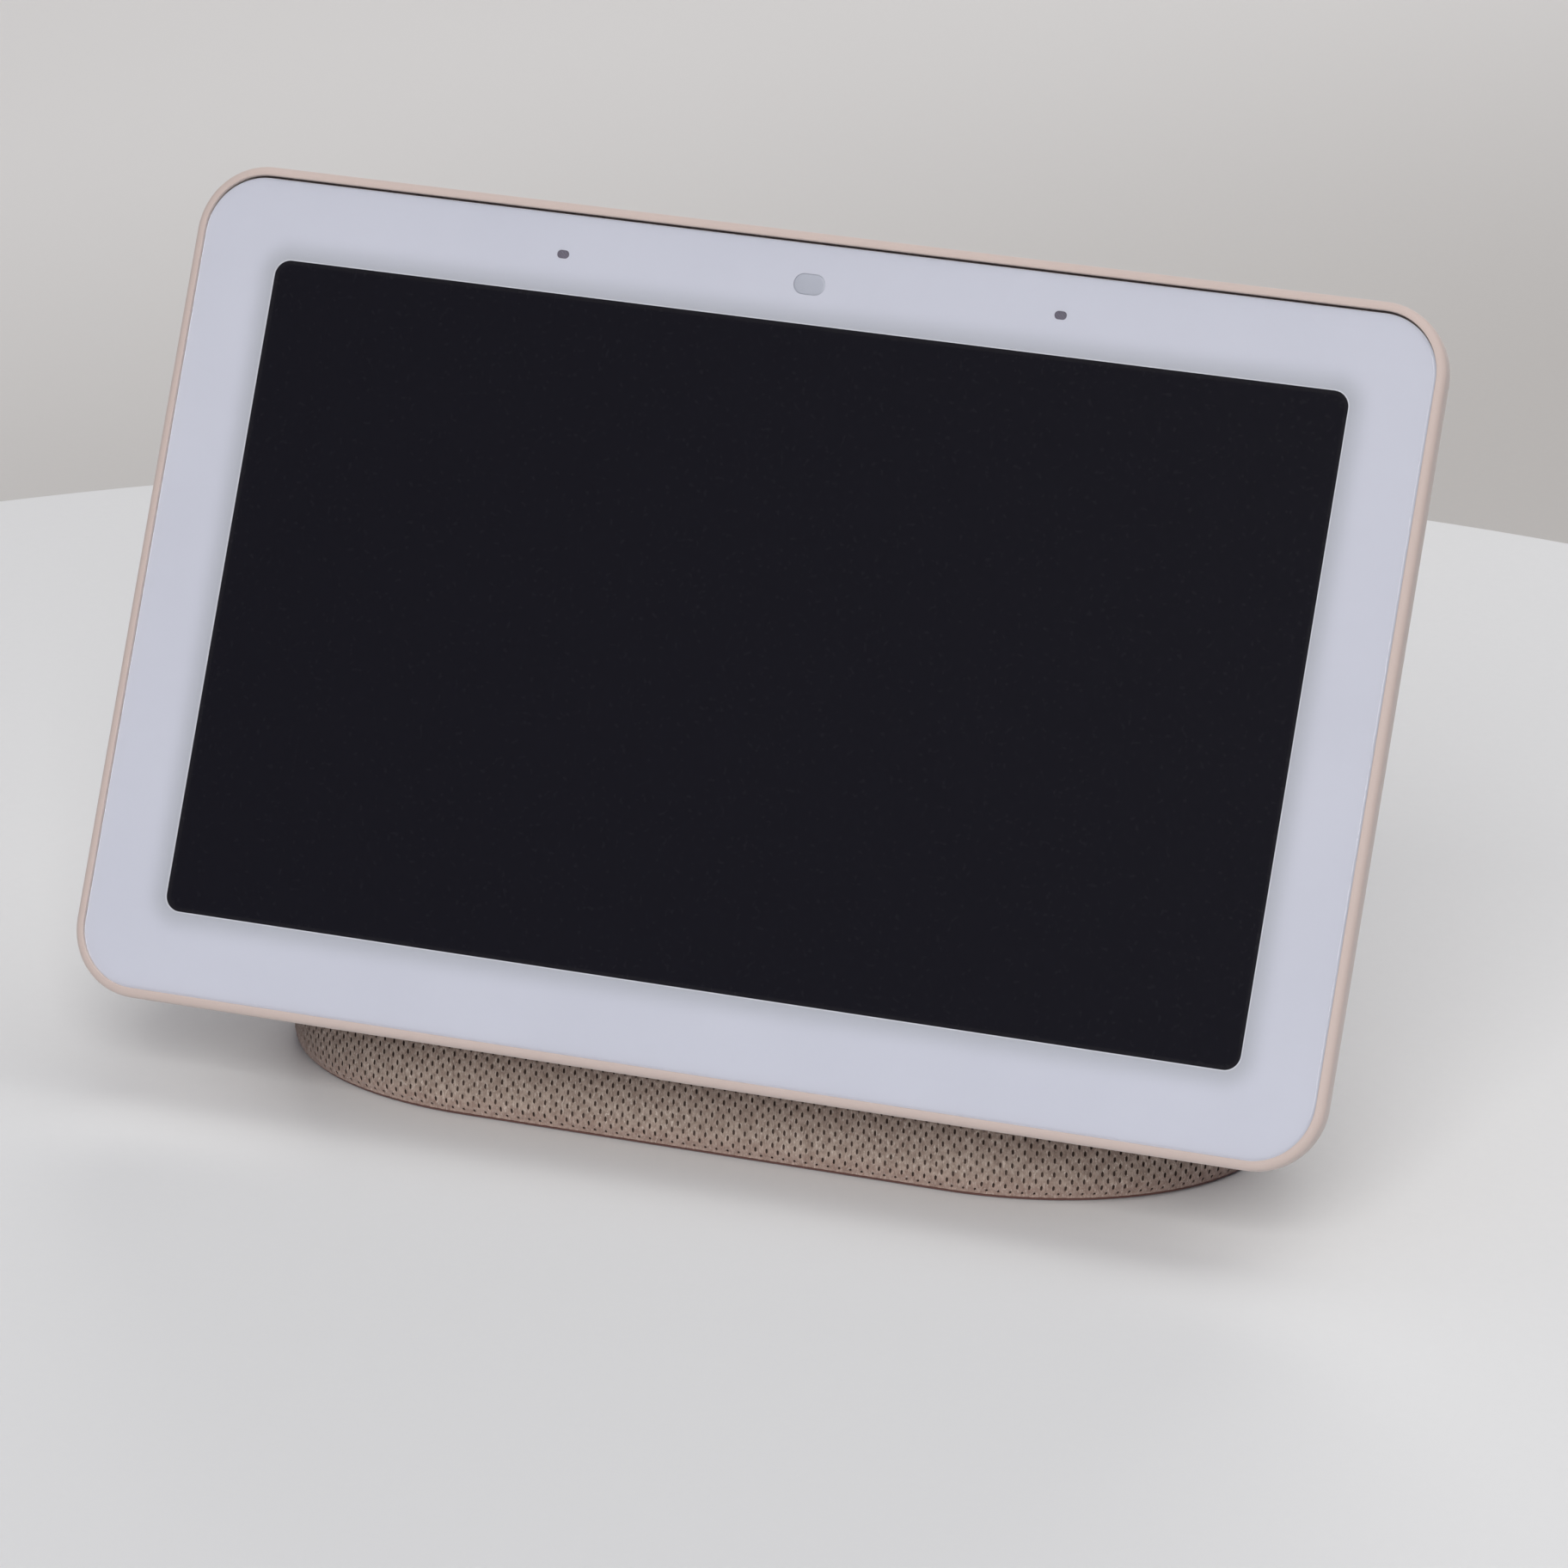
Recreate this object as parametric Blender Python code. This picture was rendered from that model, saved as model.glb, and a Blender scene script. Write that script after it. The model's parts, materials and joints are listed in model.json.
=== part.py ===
"""Seven inch smart display: a tilted screen slab on a fabric covered speaker base.

The screen faces -Y, +Z is up and the foot rests on Z = 0.  Dimensions are in
millimetres and become metres when a mesh is made.  Pieces of the slab are laid out
in the slab's own frame: X across, Y up along the glass, and depth counted from the
front of the glass towards the back.
"""

import math

import bmesh
import bpy
from mathutils import Matrix, Vector

MM = 0.001

# Overall size
OVERALL_DEPTH = 67.3
OVERALL_HEIGHT = 118.0
TILT = math.radians(25.0)  # the screen leans back this far from vertical
EDGE_LOSS = 0.17  # the slab's rounded front edge stops this short of its sharp corner

# Screen slab
SLAB_W = 178.5
SLAB_H = 114.9
SLAB_T = 10.0
SLAB_CORNER = 9.6
SIDE_WALL = 2.5  # straight part of the slab's edge before the back curves in
BACK_INSET = 9.0  # how far the curved edge runs in before the back is flat
HOUSING_WALL = 1.5
CORNER_STEPS = 7
BACK_STEPS = 8

# Cover glass and what lies under it
GLASS_W = 175.9
GLASS_H = 112.3
GLASS_T = 1.0
GLASS_CORNER = 8.2
RIM_WIDTH = 0.9
WINDOW_W = 153.6
WINDOW_H = 90.0
WINDOW_CORNER = 2.2
SENSOR_ROW = WINDOW_H / 2 + 5.4  # microphones and light sensor sit on this row
MIC_X = 35.6
MIC_SLOT_W = 1.75
MIC_SLOT_H = 1.15
SENSOR_W = 4.5
SENSOR_H = 2.85

# Layers of the slab, as depth behind the front of the glass
MASK_DEPTH = (1.05, 1.2)
TAPE_DEPTH = (1.25, 1.45)
LCD_DEPTH = (1.3, 2.7)
BACKLIGHT_DEPTH = (2.85, 5.0)
FRAME_DEPTH = (1.5, 6.0)
BOARD_DEPTH = (6.3, 7.1)
SHIELD_DEPTH = (7.2, 8.0)
SPREADER_DEPTH = (8.05, 8.35)
BACK_INNER = SLAB_T - HOUSING_WALL
LCD_X = 80.5
LCD_Y = (-50.0, 47.5)

# Base
BASE_HALF_W = 70.0
BASE_FLAT = 35.0  # half length of the straight part of the pill footprint
BASE_FRONT = -24.3
BASE_REAR = OVERALL_DEPTH / 2
FRONT_LEAN = 0.12
SHOULDER = 6.0  # the walls start to curve in above this height
REAR_CENTRE = -22.0
REAR_RISE = 76.0
WIDTH_RISE = 80.0
WIDTH_POWER = 2.2
LOFT_TOP = 73.0
FABRIC_T = 1.4
SHELL_INSET = 1.65
SHELL_WALL = 2.2
SEAM = 0.35  # gap between the base and the back of the slab
FOOT_T = 1.6
SLEEVE_BOTTOM = 0.9
PLATE_Z = (1.7, 3.8)
SHELL_BOTTOM = 3.9
TOWERS = [(x, y) for x in (-54.0, 54.0) for y in (-6.0, 16.0)]

# Speaker, on an axis that points to the rear
SPEAKER_Z = 28.0
BOX_HALF_W = 32.0
BOX_SECTION = [(-11.0, 7.6), (16.0, 7.6), (16.0, 48.5), (1.2, 48.5), (-11.0, 20.0)]
BOX_HOLLOW = [(-9.0, 9.6), (14.0, 9.6), (14.0, 46.5), (2.6, 46.5), (-9.0, 19.4)]

# Power inlet
JACK_X = -40.0
JACK_Z = 11.0
JACK_BORE = 2.75

# Controls on the back of the slab
ROCKER_X = 76.0
ROCKER_Y = 25.0
ROCKER_W = 4.4
ROCKER_L = 28.0
ROCKER_AXIS_DEPTH = 8.0
KEY_ARM = 9.0
MUTE_Y = 44.0
MUTE_W = 9.0
MUTE_H = 3.6
MUTE_TRAVEL = 2.5
PROUD = 0.8  # how far the knobs stand out of the back


# ---------------------------------------------------------------- materials

def paint(name, rgb, roughness, metallic=0.0, transmission=0.0):
    """A Principled material; rgb is given as linear colour."""
    made = bpy.data.materials.new(name)
    made.use_nodes = True
    shader = made.node_tree.nodes["Principled BSDF"]
    shader.inputs["Base Color"].default_value = (*rgb, 1.0)
    shader.inputs["Roughness"].default_value = roughness
    shader.inputs["Metallic"].default_value = metallic
    shader.inputs["Transmission Weight"].default_value = transmission
    made.diffuse_color = (*rgb, 1.0)
    made.roughness = roughness
    made.metallic = metallic
    return made


# ---------------------------------------------------------------- outlines

def rounded_rect(width, height, radius, steps=CORNER_STEPS, centre=(0.0, 0.0)):
    """Outline of a rounded rectangle, anticlockwise."""
    points = []
    corners = ((1, 1, 0), (-1, 1, 90), (-1, -1, 180), (1, -1, 270))
    for sx, sy, start in corners:
        cx = centre[0] + sx * (width / 2 - radius)
        cy = centre[1] + sy * (height / 2 - radius)
        for k in range(steps + 1):
            angle = math.radians(start + 90.0 * k / steps)
            points.append((cx + radius * math.cos(angle), cy + radius * math.sin(angle)))
    return points


def box_outline(x0, x1, y0, y1):
    return [(x0, y0), (x1, y0), (x1, y1), (x0, y1)]


def circle(radius, steps, centre=(0.0, 0.0)):
    turn = 2 * math.pi / steps
    return [
        (centre[0] + radius * math.cos(k * turn), centre[1] + radius * math.sin(k * turn))
        for k in range(steps)
    ]


# ---------------------------------------------------------------- solids

def solid(name, points, faces, frame=None, origin=(0.0, 0.0, 0.0)):
    """An object from points in millimetres, measured in the frame it hangs from."""
    start = Vector(origin)
    mesh = bpy.data.meshes.new(name)
    mesh.from_pydata([tuple((Vector(p) - start) * MM) for p in points], [], faces)
    shape = bmesh.new()
    shape.from_mesh(mesh)
    bmesh.ops.recalc_face_normals(shape, faces=shape.faces)
    shape.to_mesh(mesh)
    shape.free()
    obj = bpy.data.objects.new(name, mesh)
    bpy.context.scene.collection.objects.link(obj)
    obj.parent = frame
    obj.location = start * MM
    return obj


def loft(name, rings, **where):
    """A solid through closed rings that all hold the same number of points."""
    count = len(rings[0])
    points = [p for ring in rings for p in ring]
    faces = [list(range(count))[::-1]]
    for level in range(len(rings) - 1):
        low = level * count
        for k in range(count):
            after = (k + 1) % count
            faces.append([low + k, low + after, low + count + after, low + count + k])
    last = (len(rings) - 1) * count
    faces.append([last + k for k in range(count)])
    return solid(name, points, faces, **where)


def prism(name, outline, z0, z1, **where):
    return loft(name, [[(x, y, z) for x, y in outline] for z in (z0, z1)], **where)


def hoop(name, rings, **where):
    """A closed tube whose section runs through the rings and back to the first."""
    count = len(rings[0])
    points = [p for ring in rings for p in ring]
    faces = []
    for level in range(len(rings)):
        low = level * count
        high = ((level + 1) % len(rings)) * count
        for k in range(count):
            after = (k + 1) % count
            faces.append([low + k, low + after, high + after, high + k])
    return solid(name, points, faces, **where)


def frame_prism(name, outer, inner, z0, z1, **where):
    """A flat frame between two outlines with the same number of points."""
    order = ((outer, z0), (outer, z1), (inner, z1), (inner, z0))
    return hoop(name, [[(x, y, z) for x, y in line] for line, z in order], **where)


def turned(name, profile, steps, centre, axis, **where):
    """Revolves (radius, along) points about an axis through centre.

    A profile that starts and ends on the axis closes there; any other closes on itself.
    """
    side = Vector((1.0, 0.0, 0.0)) if abs(axis[0]) < 0.9 else Vector((0.0, 1.0, 0.0))
    along = Vector(axis)
    across = along.cross(side).normalized()
    side = across.cross(along).normalized()
    middle = Vector(centre)
    points = []
    rows = []
    for radius, reach in profile:
        here = middle + along * reach
        if radius == 0.0:
            rows.append([len(points)] * steps)
            points.append(tuple(here))
            continue
        rows.append([len(points) + k for k in range(steps)])
        for k in range(steps):
            angle = 2 * math.pi * k / steps
            spoke = side * math.cos(angle) + across * math.sin(angle)
            points.append(tuple(here + spoke * radius))
    faces = []
    closed = profile[0][0] != 0.0
    for level in range(len(rows) if closed else len(rows) - 1):
        low = rows[level]
        high = rows[(level + 1) % len(rows)]
        for k in range(steps):
            after = (k + 1) % steps
            corners = [low[k], low[after], high[after], high[k]]
            faces.append([c for i, c in enumerate(corners) if c not in corners[:i]])
    return solid(name, points, faces, **where)


def ribbon(name, path, thickness, x0, x1, **where):
    """A flat cable: a path in the YZ plane, given a thickness and run across X."""
    left = []
    right = []
    for k, (y, z) in enumerate(path):
        before = Vector(path[max(k - 1, 0)])
        after = Vector(path[min(k + 1, len(path) - 1)])
        here = Vector((y, z))
        first = (here - before).normalized() if k else (after - here).normalized()
        second = (after - here).normalized() if k < len(path) - 1 else first
        way = (first + second).normalized()
        spread = thickness / 2 / max(way.dot(first), 0.5)
        normal = Vector((-way.y, way.x)) * spread
        left.append(here + normal)
        right.append(here - normal)
    outline = left + right[::-1]
    return loft(name, [[(x, p.x, p.y) for p in outline] for x in (x0, x1)], **where)


def shape_with(target, other, operation="DIFFERENCE", keep=False):
    """Cuts other from target, or joins it, and leaves a plain mesh behind."""
    bpy.context.view_layer.update()
    step = target.modifiers.new(operation.lower(), "BOOLEAN")
    step.operation = operation
    step.object = other
    step.solver = "EXACT"
    graph = bpy.context.evaluated_depsgraph_get()
    mesh = bpy.data.meshes.new_from_object(target.evaluated_get(graph))
    target.modifiers.clear()
    target.data = mesh
    if not keep:
        bpy.data.objects.remove(other, do_unlink=True)
    return target


def cut(target, *cutters):
    for cutter in cutters:
        shape_with(target, cutter)
    return target


def join(target, *others):
    for other in others:
        shape_with(target, other, "UNION")
    return target


def finish(obj, look, smooth_below=40.0):
    """Gives the object its material and smooth shading with crisp edges."""
    mesh = obj.data
    mesh.name = obj.name
    mesh.materials.clear()
    mesh.materials.append(look)
    shape = bmesh.new()
    shape.from_mesh(mesh)
    for face in shape.faces:
        face.smooth = True
        face.material_index = 0
    limit = math.radians(smooth_below)
    for edge in shape.edges:
        edge.smooth = len(edge.link_faces) == 2 and edge.calc_face_angle(4.0) < limit
    shape.to_mesh(mesh)
    shape.free()
    return obj


def screw(name, centre, axis, head, shank, look, frame=None):
    """A pan head screw: head and shank are (radius, start, end) along the axis."""
    head_r, head_0, head_1 = head
    shank_r, shank_0, shank_1 = shank
    socket = head_r * 0.45
    floor = head_0 + (head_1 - head_0) * 0.45
    profile = [
        (0.0, floor),
        (socket, head_0),
        (head_r * 0.8, head_0),
        (head_r, head_0 + (head_1 - head_0) * 0.35),
        (head_r, head_1),
        (shank_r, head_1),
        (shank_r, shank_1),
        (0.0, shank_1),
    ]
    return finish(turned(name, profile, 10, centre, axis, frame=frame), look)


# ---------------------------------------------------------------- slab layout

def slab_layer(name, outline, depth, **where):
    """A flat layer of the slab between two depths."""
    return prism(name, outline, -depth[1], -depth[0], **where)


def housing_section(grow=0.0):
    """(inset, depth) of the housing's outside from its front edge to its back."""
    section = [(0.45, 0.0), (0.13, 0.13), (0.0, 0.45), (0.0, SIDE_WALL)]
    for k in range(1, BACK_STEPS + 1):
        angle = math.radians(90.0 * k / BACK_STEPS)
        inset = BACK_INSET * (1 - math.cos(angle))
        depth = SIDE_WALL + (SLAB_T - SIDE_WALL) * math.sin(angle)
        section.append((inset - grow * math.cos(angle), depth + grow * math.sin(angle)))
    if grow:
        section[:4] = [(-grow, -4.0), (-grow, SIDE_WALL)]
    return section


def housing_ring(inset, depth):
    radius = max(SLAB_CORNER - inset, 0.6)
    outline = rounded_rect(SLAB_W - 2 * inset, SLAB_H - 2 * inset, radius)
    return [(x, y, -depth) for x, y in outline]


def slab_envelope(name, frame, grow):
    """The housing's outside made larger all round, and run out past the front."""
    return loft(name, [housing_ring(*step) for step in housing_section(grow)], frame=frame)


def build_display(frame, looks):
    glass = slab_layer(
        "cover_glass",
        rounded_rect(GLASS_W, GLASS_H, GLASS_CORNER),
        (0.0, GLASS_T),
        frame=frame,
    )
    mask = frame_prism(
        "bezel_mask",
        rounded_rect(GLASS_W - 0.6, GLASS_H - 0.6, GLASS_CORNER - 0.3),
        rounded_rect(WINDOW_W, WINDOW_H, WINDOW_CORNER),
        -MASK_DEPTH[1],
        -MASK_DEPTH[0],
        frame=frame,
    )
    for side in (-1, 1):
        for layer in (glass, mask):
            slot = rounded_rect(
                MIC_SLOT_W, MIC_SLOT_H, 0.5, 3, centre=(side * MIC_X, SENSOR_ROW)
            )
            cut(layer, slab_layer("slot", slot, (-1.0, 1.6), frame=frame))
    hole = rounded_rect(
        SENSOR_W + 0.1, SENSOR_H + 0.1, SENSOR_H / 2, 4, centre=(0.0, SENSOR_ROW)
    )
    cut(mask, slab_layer("sensor_hole", hole, (0.8, 1.6), frame=frame))
    finish(glass, looks["glass"])
    finish(mask, looks["bezel"])

    patch = rounded_rect(SENSOR_W, SENSOR_H, SENSOR_H / 2 - 0.02, 4, centre=(0.0, SENSOR_ROW))
    finish(slab_layer("sensor_window", patch, MASK_DEPTH, frame=frame), looks["sensor"])

    tape_inner = rounded_rect(162.8, 104.0, 1.0, centre=(0.0, 1.0))
    tape = frame_prism(
        "display_adhesive",
        rounded_rect(173.6, 110.0, 7.2),
        tape_inner,
        -TAPE_DEPTH[1],
        -TAPE_DEPTH[0],
        frame=frame,
    )
    finish(tape, looks["tape"])

    lcd = box_outline(-LCD_X, LCD_X, *LCD_Y)
    finish(slab_layer("lcd_panel", lcd, LCD_DEPTH, frame=frame), looks["lcd"])
    backlight = box_outline(-LCD_X + 0.2, LCD_X - 0.2, -46.8, LCD_Y[1] - 0.1)
    finish(
        slab_layer("backlight_unit", backlight, BACKLIGHT_DEPTH, frame=frame),
        looks["steel"],
    )
    build_mid_frame(frame, looks)
    build_rear_housing(frame, looks)
    build_sensors(frame, looks)
    build_electronics(frame, looks)


HOUSING_SCREWS = [(x, y) for x in (-83.7, 83.7) for y in (-30.0, 30.0)]
BRACKET_SCREWS = [(x, y) for x in (-20.0, 20.0) for y in (-34.0, -14.0)]
CABLE_SLOT = (-47.0, -36.0, -12.6, -9.2)


def build_mid_frame(frame, looks):
    """The tray that carries the panel, with a channel above it for the sensors."""
    steps = ((0.0, FRAME_DEPTH[0]), (0.0, 3.4), (1.3, FRAME_DEPTH[1]))
    rings = []
    for inset, depth in steps[::-1]:
        outline = rounded_rect(174.4 - 2 * inset, 110.8 - 2 * inset, 7.4 - inset)
        rings.append([(x, y, -depth) for x, y in outline])
    tray = loft("mid_frame", rings, frame=frame)
    pocket = box_outline(-81.0, 81.0, -50.6, 48.0)
    channel = box_outline(-42.0, 42.0, 48.5, 52.6)
    cable = box_outline(-11.0, 11.0, -50.0, -47.4)
    cut(
        tray,
        slab_layer("pocket", pocket, (1.0, 5.2), frame=frame),
        slab_layer("channel", channel, (1.0, 3.4), frame=frame),
        slab_layer("cable", cable, (5.0, 6.5), frame=frame),
    )
    for x, y in HOUSING_SCREWS:
        place = {"centre": (x, y)}
        cut(
            tray,
            slab_layer("bore", circle(1.9, 16, **place), (1.0, 4.7), frame=frame),
            slab_layer("hole", circle(1.0, 12, **place), (4.0, 6.5), frame=frame),
        )
    finish(tray, looks["frame"])
    for number, (x, y) in enumerate(HOUSING_SCREWS, 1):
        screw(
            f"housing_screw_{number}",
            (x, y, 0.0),
            (0.0, 0.0, -1.0),
            (1.6, 3.6, 4.6),
            (0.8, 4.6, 8.3),
            looks["screw"],
            frame,
        )


def build_rear_housing(frame, looks):
    """The soft touch shell: a rim round the glass that curves into a flat back."""
    housing = loft(
        "rear_housing", [housing_ring(*step) for step in housing_section()], frame=frame
    )
    hollow = [(RIM_WIDTH, -1.0), (RIM_WIDTH, 2.4), (1.7, 2.4), (1.7, 3.0)]
    for k in range(1, BACK_STEPS + 1):
        angle = math.radians(90.0 * k / BACK_STEPS)
        depth = 3.0 + (BACK_INNER - 3.0) * math.sin(angle)
        hollow.append((1.7 + 7.5 * (1 - math.cos(angle)), depth))
    space = loft("space", [housing_ring(*step) for step in hollow], frame=frame)
    for x, y in HOUSING_SCREWS:
        boss = circle(2.2, 16, centre=(x, y))
        shape_with(space, slab_layer("boss", boss, (6.15, 11.0), frame=frame))
    for x, y in BRACKET_SCREWS:
        boss = circle(2.6, 16, centre=(x, y))
        shape_with(space, slab_layer("boss", boss, (6.5, 11.0), frame=frame))
    for side in (-1, 1):
        near = ROCKER_X + side * 2.75
        far = ROCKER_X + side * 4.2
        saddle = box_outline(min(near, far), max(near, far), ROCKER_Y - 1.6, ROCKER_Y + 1.6)
        shape_with(space, slab_layer("saddle", saddle, (7.2, 11.0), frame=frame))
    cut(housing, space)
    for x, y in HOUSING_SCREWS:
        hole = circle(0.95, 12, centre=(x, y))
        cut(housing, slab_layer("hole", hole, (5.0, 8.5), frame=frame))
    for x, y in BRACKET_SCREWS:
        hole = circle(1.1, 12, centre=(x, y))
        cut(housing, slab_layer("hole", hole, (5.0, 11.0), frame=frame))
    rocker_slot = rounded_rect(
        ROCKER_W + 0.6, ROCKER_L + 0.6, 2.5, 5, centre=(ROCKER_X, ROCKER_Y)
    )
    mute_slot = rounded_rect(MUTE_W + MUTE_TRAVEL + 0.6, MUTE_H + 0.6, 2.1, 5, (0.0, MUTE_Y))
    cut(
        housing,
        slab_layer("rocker_slot", rocker_slot, (8.0, 11.0), frame=frame),
        slab_layer("mute_slot", mute_slot, (8.0, 11.0), frame=frame),
        slab_layer("cable_slot", box_outline(*CABLE_SLOT), (8.0, 11.0), frame=frame),
    )
    axle = turned(
        "axle",
        [(0.0, -5.0), (0.65, -5.0), (0.65, 5.0), (0.0, 5.0)],
        12,
        (ROCKER_X, ROCKER_Y, -ROCKER_AXIS_DEPTH),
        (1.0, 0.0, 0.0),
        frame=frame,
    )
    cut(housing, axle)
    finish(housing, looks["housing"])


def build_sensors(frame, looks):
    for side, word in ((-1, "left"), (1, "right")):
        x = side * MIC_X
        board = box_outline(x - 5.0, x + 5.0, SENSOR_ROW - 1.6, SENSOR_ROW + 1.6)
        finish(
            slab_layer(f"mic_board_{word}", board, (2.0, 2.8), frame=frame), looks["board"]
        )
    guide = rounded_rect(5.4, 3.0, 1.4, 4, (0.0, SENSOR_ROW))
    finish(
        slab_layer("sensor_light_guide", guide, (1.3, 2.1), frame=frame), looks["clear"]
    )
    board = box_outline(-6.0, 6.0, SENSOR_ROW - 1.6, SENSOR_ROW + 1.6)
    finish(
        slab_layer("light_sensor_board", board, (2.2, 3.0), frame=frame), looks["board"]
    )


def build_electronics(frame, looks):
    board = rounded_rect(118.0, 40.0, 2.0, 3, (-4.0, 16.0))
    finish(slab_layer("main_board", board, BOARD_DEPTH, frame=frame), looks["board"])
    can = rounded_rect(58.0, 34.0, 1.5, 3, (12.0, 16.0))
    finish(slab_layer("processor_shield", can, SHIELD_DEPTH, frame=frame), looks["tin"])
    sheet = rounded_rect(86.0, 42.0, 3.0, 3, (8.0, 17.0))
    finish(
        slab_layer("heat_spreader", sheet, SPREADER_DEPTH, frame=frame),
        looks["aluminium"],
    )
    for side, word in ((-1, "left"), (1, "right")):
        strip = rounded_rect(34.0, 6.0, 1.0, 3, (side * 58.0, -45.0))
        finish(
            slab_layer(f"wifi_antenna_{word}", strip, (6.15, 6.45), frame=frame),
            looks["copper"],
        )
    path = [(-47.0, -3.0), (-48.7, -3.2), (-48.7, -5.6), (-47.6, -6.15), (-4.6, -6.15)]
    finish(ribbon("display_flex", path, 0.14, -10.0, 10.0, frame=frame), looks["flex"])

    board = box_outline(72.5, 79.5, ROCKER_Y - 17.0, ROCKER_Y + 17.0)
    finish(slab_layer("key_board", board, (6.25, 6.85), frame=frame), looks["board"])
    body = slab_layer(
        "mute_switch_body",
        box_outline(-4.6, 4.6, MUTE_Y - 2.0, MUTE_Y + 2.0),
        (6.2, 7.6),
        frame=frame,
    )
    groove = box_outline(-2.3, 2.3, MUTE_Y - 0.9, MUTE_Y + 0.9)
    cut(body, slab_layer("groove", groove, (6.9, 8.0), frame=frame))
    finish(body, looks["tin"])
    for side, word in ((1, "up"), (-1, "down")):
        y = ROCKER_Y + side * KEY_ARM
        body = slab_layer(
            f"key_switch_{word}",
            box_outline(ROCKER_X - 1.7, ROCKER_X + 1.7, y - 1.8, y + 1.8),
            (6.95, 7.75),
            frame=frame,
        )
        well = circle(1.0, 16, centre=(ROCKER_X, y))
        cut(body, slab_layer("well", well, (7.05, 8.0), frame=frame))
        finish(body, looks["tin"])


# ---------------------------------------------------------------- moving pieces

def build_controls(frame, looks):
    """Rocker, its two plungers and the mute slider, each with its own origin."""
    axle = (ROCKER_X, ROCKER_Y, -ROCKER_AXIS_DEPTH)
    outline = rounded_rect(ROCKER_W, ROCKER_L, ROCKER_W / 2, 5, (ROCKER_X, ROCKER_Y))
    inner = rounded_rect(
        ROCKER_W - 0.6, ROCKER_L - 0.6, ROCKER_W / 2 - 0.3, 5, (ROCKER_X, ROCKER_Y)
    )
    top = SLAB_T + PROUD
    rings = [
        [(x, y, -top) for x, y in inner],
        [(x, y, -top + 0.3) for x, y in outline],
        [(x, y, -8.6) for x, y in outline],
    ]
    rocker = loft("volume_rocker", rings, frame=frame, origin=axle)
    hub = box_outline(ROCKER_X - 2.0, ROCKER_X + 2.0, ROCKER_Y - 1.5, ROCKER_Y + 1.5)
    pin = turned(
        "pin",
        [(0.0, -3.95), (0.5, -3.95), (0.5, 3.95), (0.0, 3.95)],
        12,
        axle,
        (1.0, 0.0, 0.0),
        frame=frame,
    )
    join(rocker, slab_layer("hub", hub, (7.4, 9.0), frame=frame), pin)
    finish(rocker, looks["control"])

    for side, word in ((1, "up"), (-1, "down")):
        centre = (ROCKER_X, ROCKER_Y + side * KEY_ARM)
        plunger = slab_layer(
            f"key_plunger_{word}",
            circle(0.8, 14, centre=centre),
            (7.4, 8.5),
            frame=frame,
            origin=(*centre, -8.0),
        )
        finish(plunger, looks["white_plastic"])

    middle = -MUTE_TRAVEL / 2
    start = (middle, MUTE_Y, -SLAB_T)
    outline = rounded_rect(MUTE_W, MUTE_H, MUTE_H / 2, 5, (middle, MUTE_Y))
    inner = rounded_rect(MUTE_W - 0.5, MUTE_H - 0.5, MUTE_H / 2 - 0.25, 5, (middle, MUTE_Y))
    rings = [
        [(x, y, -top) for x, y in inner],
        [(x, y, -top + 0.25) for x, y in outline],
        [(x, y, -8.0) for x, y in outline],
    ]
    slider = loft("mute_slider", rings, frame=frame, origin=start)
    flange = rounded_rect(14.8, 5.6, 1.0, 3, (middle, MUTE_Y))
    nub = box_outline(middle - 0.5, middle + 0.5, MUTE_Y - 0.6, MUTE_Y + 0.6)
    join(
        slider,
        slab_layer("flange", flange, (7.9, 8.3), frame=frame),
        slab_layer("nub", nub, (7.1, 8.1), frame=frame),
    )
    finish(slider, looks["control"])
    film = box_outline(middle - 7.3, middle - 4.8, MUTE_Y - 1.9, MUTE_Y + 1.9)
    flag = slab_layer("mute_flag", film, (8.33, 8.41), frame=frame, origin=start)
    finish(flag, looks["orange"])


# ---------------------------------------------------------------- base

def slab_plane_y(z, depth):
    """World Y of the plane at this depth of the slab, at world height z."""
    foot_y = -OVERALL_DEPTH / 2 - EDGE_LOSS
    foot_z = OVERALL_HEIGHT + EDGE_LOSS - SLAB_H * math.cos(TILT)
    up = (z - foot_z + depth * math.sin(TILT)) / math.cos(TILT)
    return foot_y + up * math.sin(TILT) + depth * math.cos(TILT)


def base_ring(z, inset, steps=12):
    """The base's horizontal section at height z: straight front, rounded ends."""
    rise = max(z - SHOULDER, 0.0)
    narrow = (1 - (rise / WIDTH_RISE) ** WIDTH_POWER) ** (1 / WIDTH_POWER)
    sweep = math.sqrt(1 - (rise / REAR_RISE) ** 2)
    rear = REAR_CENTRE + (BASE_REAR - REAR_CENTRE) * sweep - inset
    front = max(BASE_FRONT + FRONT_LEAN * z + inset, slab_plane_y(z, 3.0))
    half_w = BASE_HALF_W * narrow - inset
    flat = BASE_FLAT * narrow
    middle = (front + rear) / 2
    reach = (rear - front) / 2
    ring = []
    for side, start in ((1, -90.0), (-1, 90.0)):
        for k in range(2 * steps + 1):
            angle = math.radians(start + 180.0 * k / (2 * steps))
            spread = (half_w - flat) * math.cos(angle)
            ring.append((side * flat + spread, middle + reach * math.sin(angle), z))
    return ring


def base_levels(bottom, rows):
    """Heights of the base's sections, closer together towards the top."""
    levels = [bottom, SHOULDER]
    for k in range(1, rows + 1):
        part = math.sin(math.radians(90.0 * k / rows))
        levels.append(SHOULDER + (LOFT_TOP - SHOULDER) * part)
    return levels


def base_solid(name, inset, bottom, rows=9):
    return loft(name, [base_ring(z, inset) for z in base_levels(bottom, rows)])


def pill(inset, z):
    return [(x, y) for x, y, _ in base_ring(z, inset, steps=10)]


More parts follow.
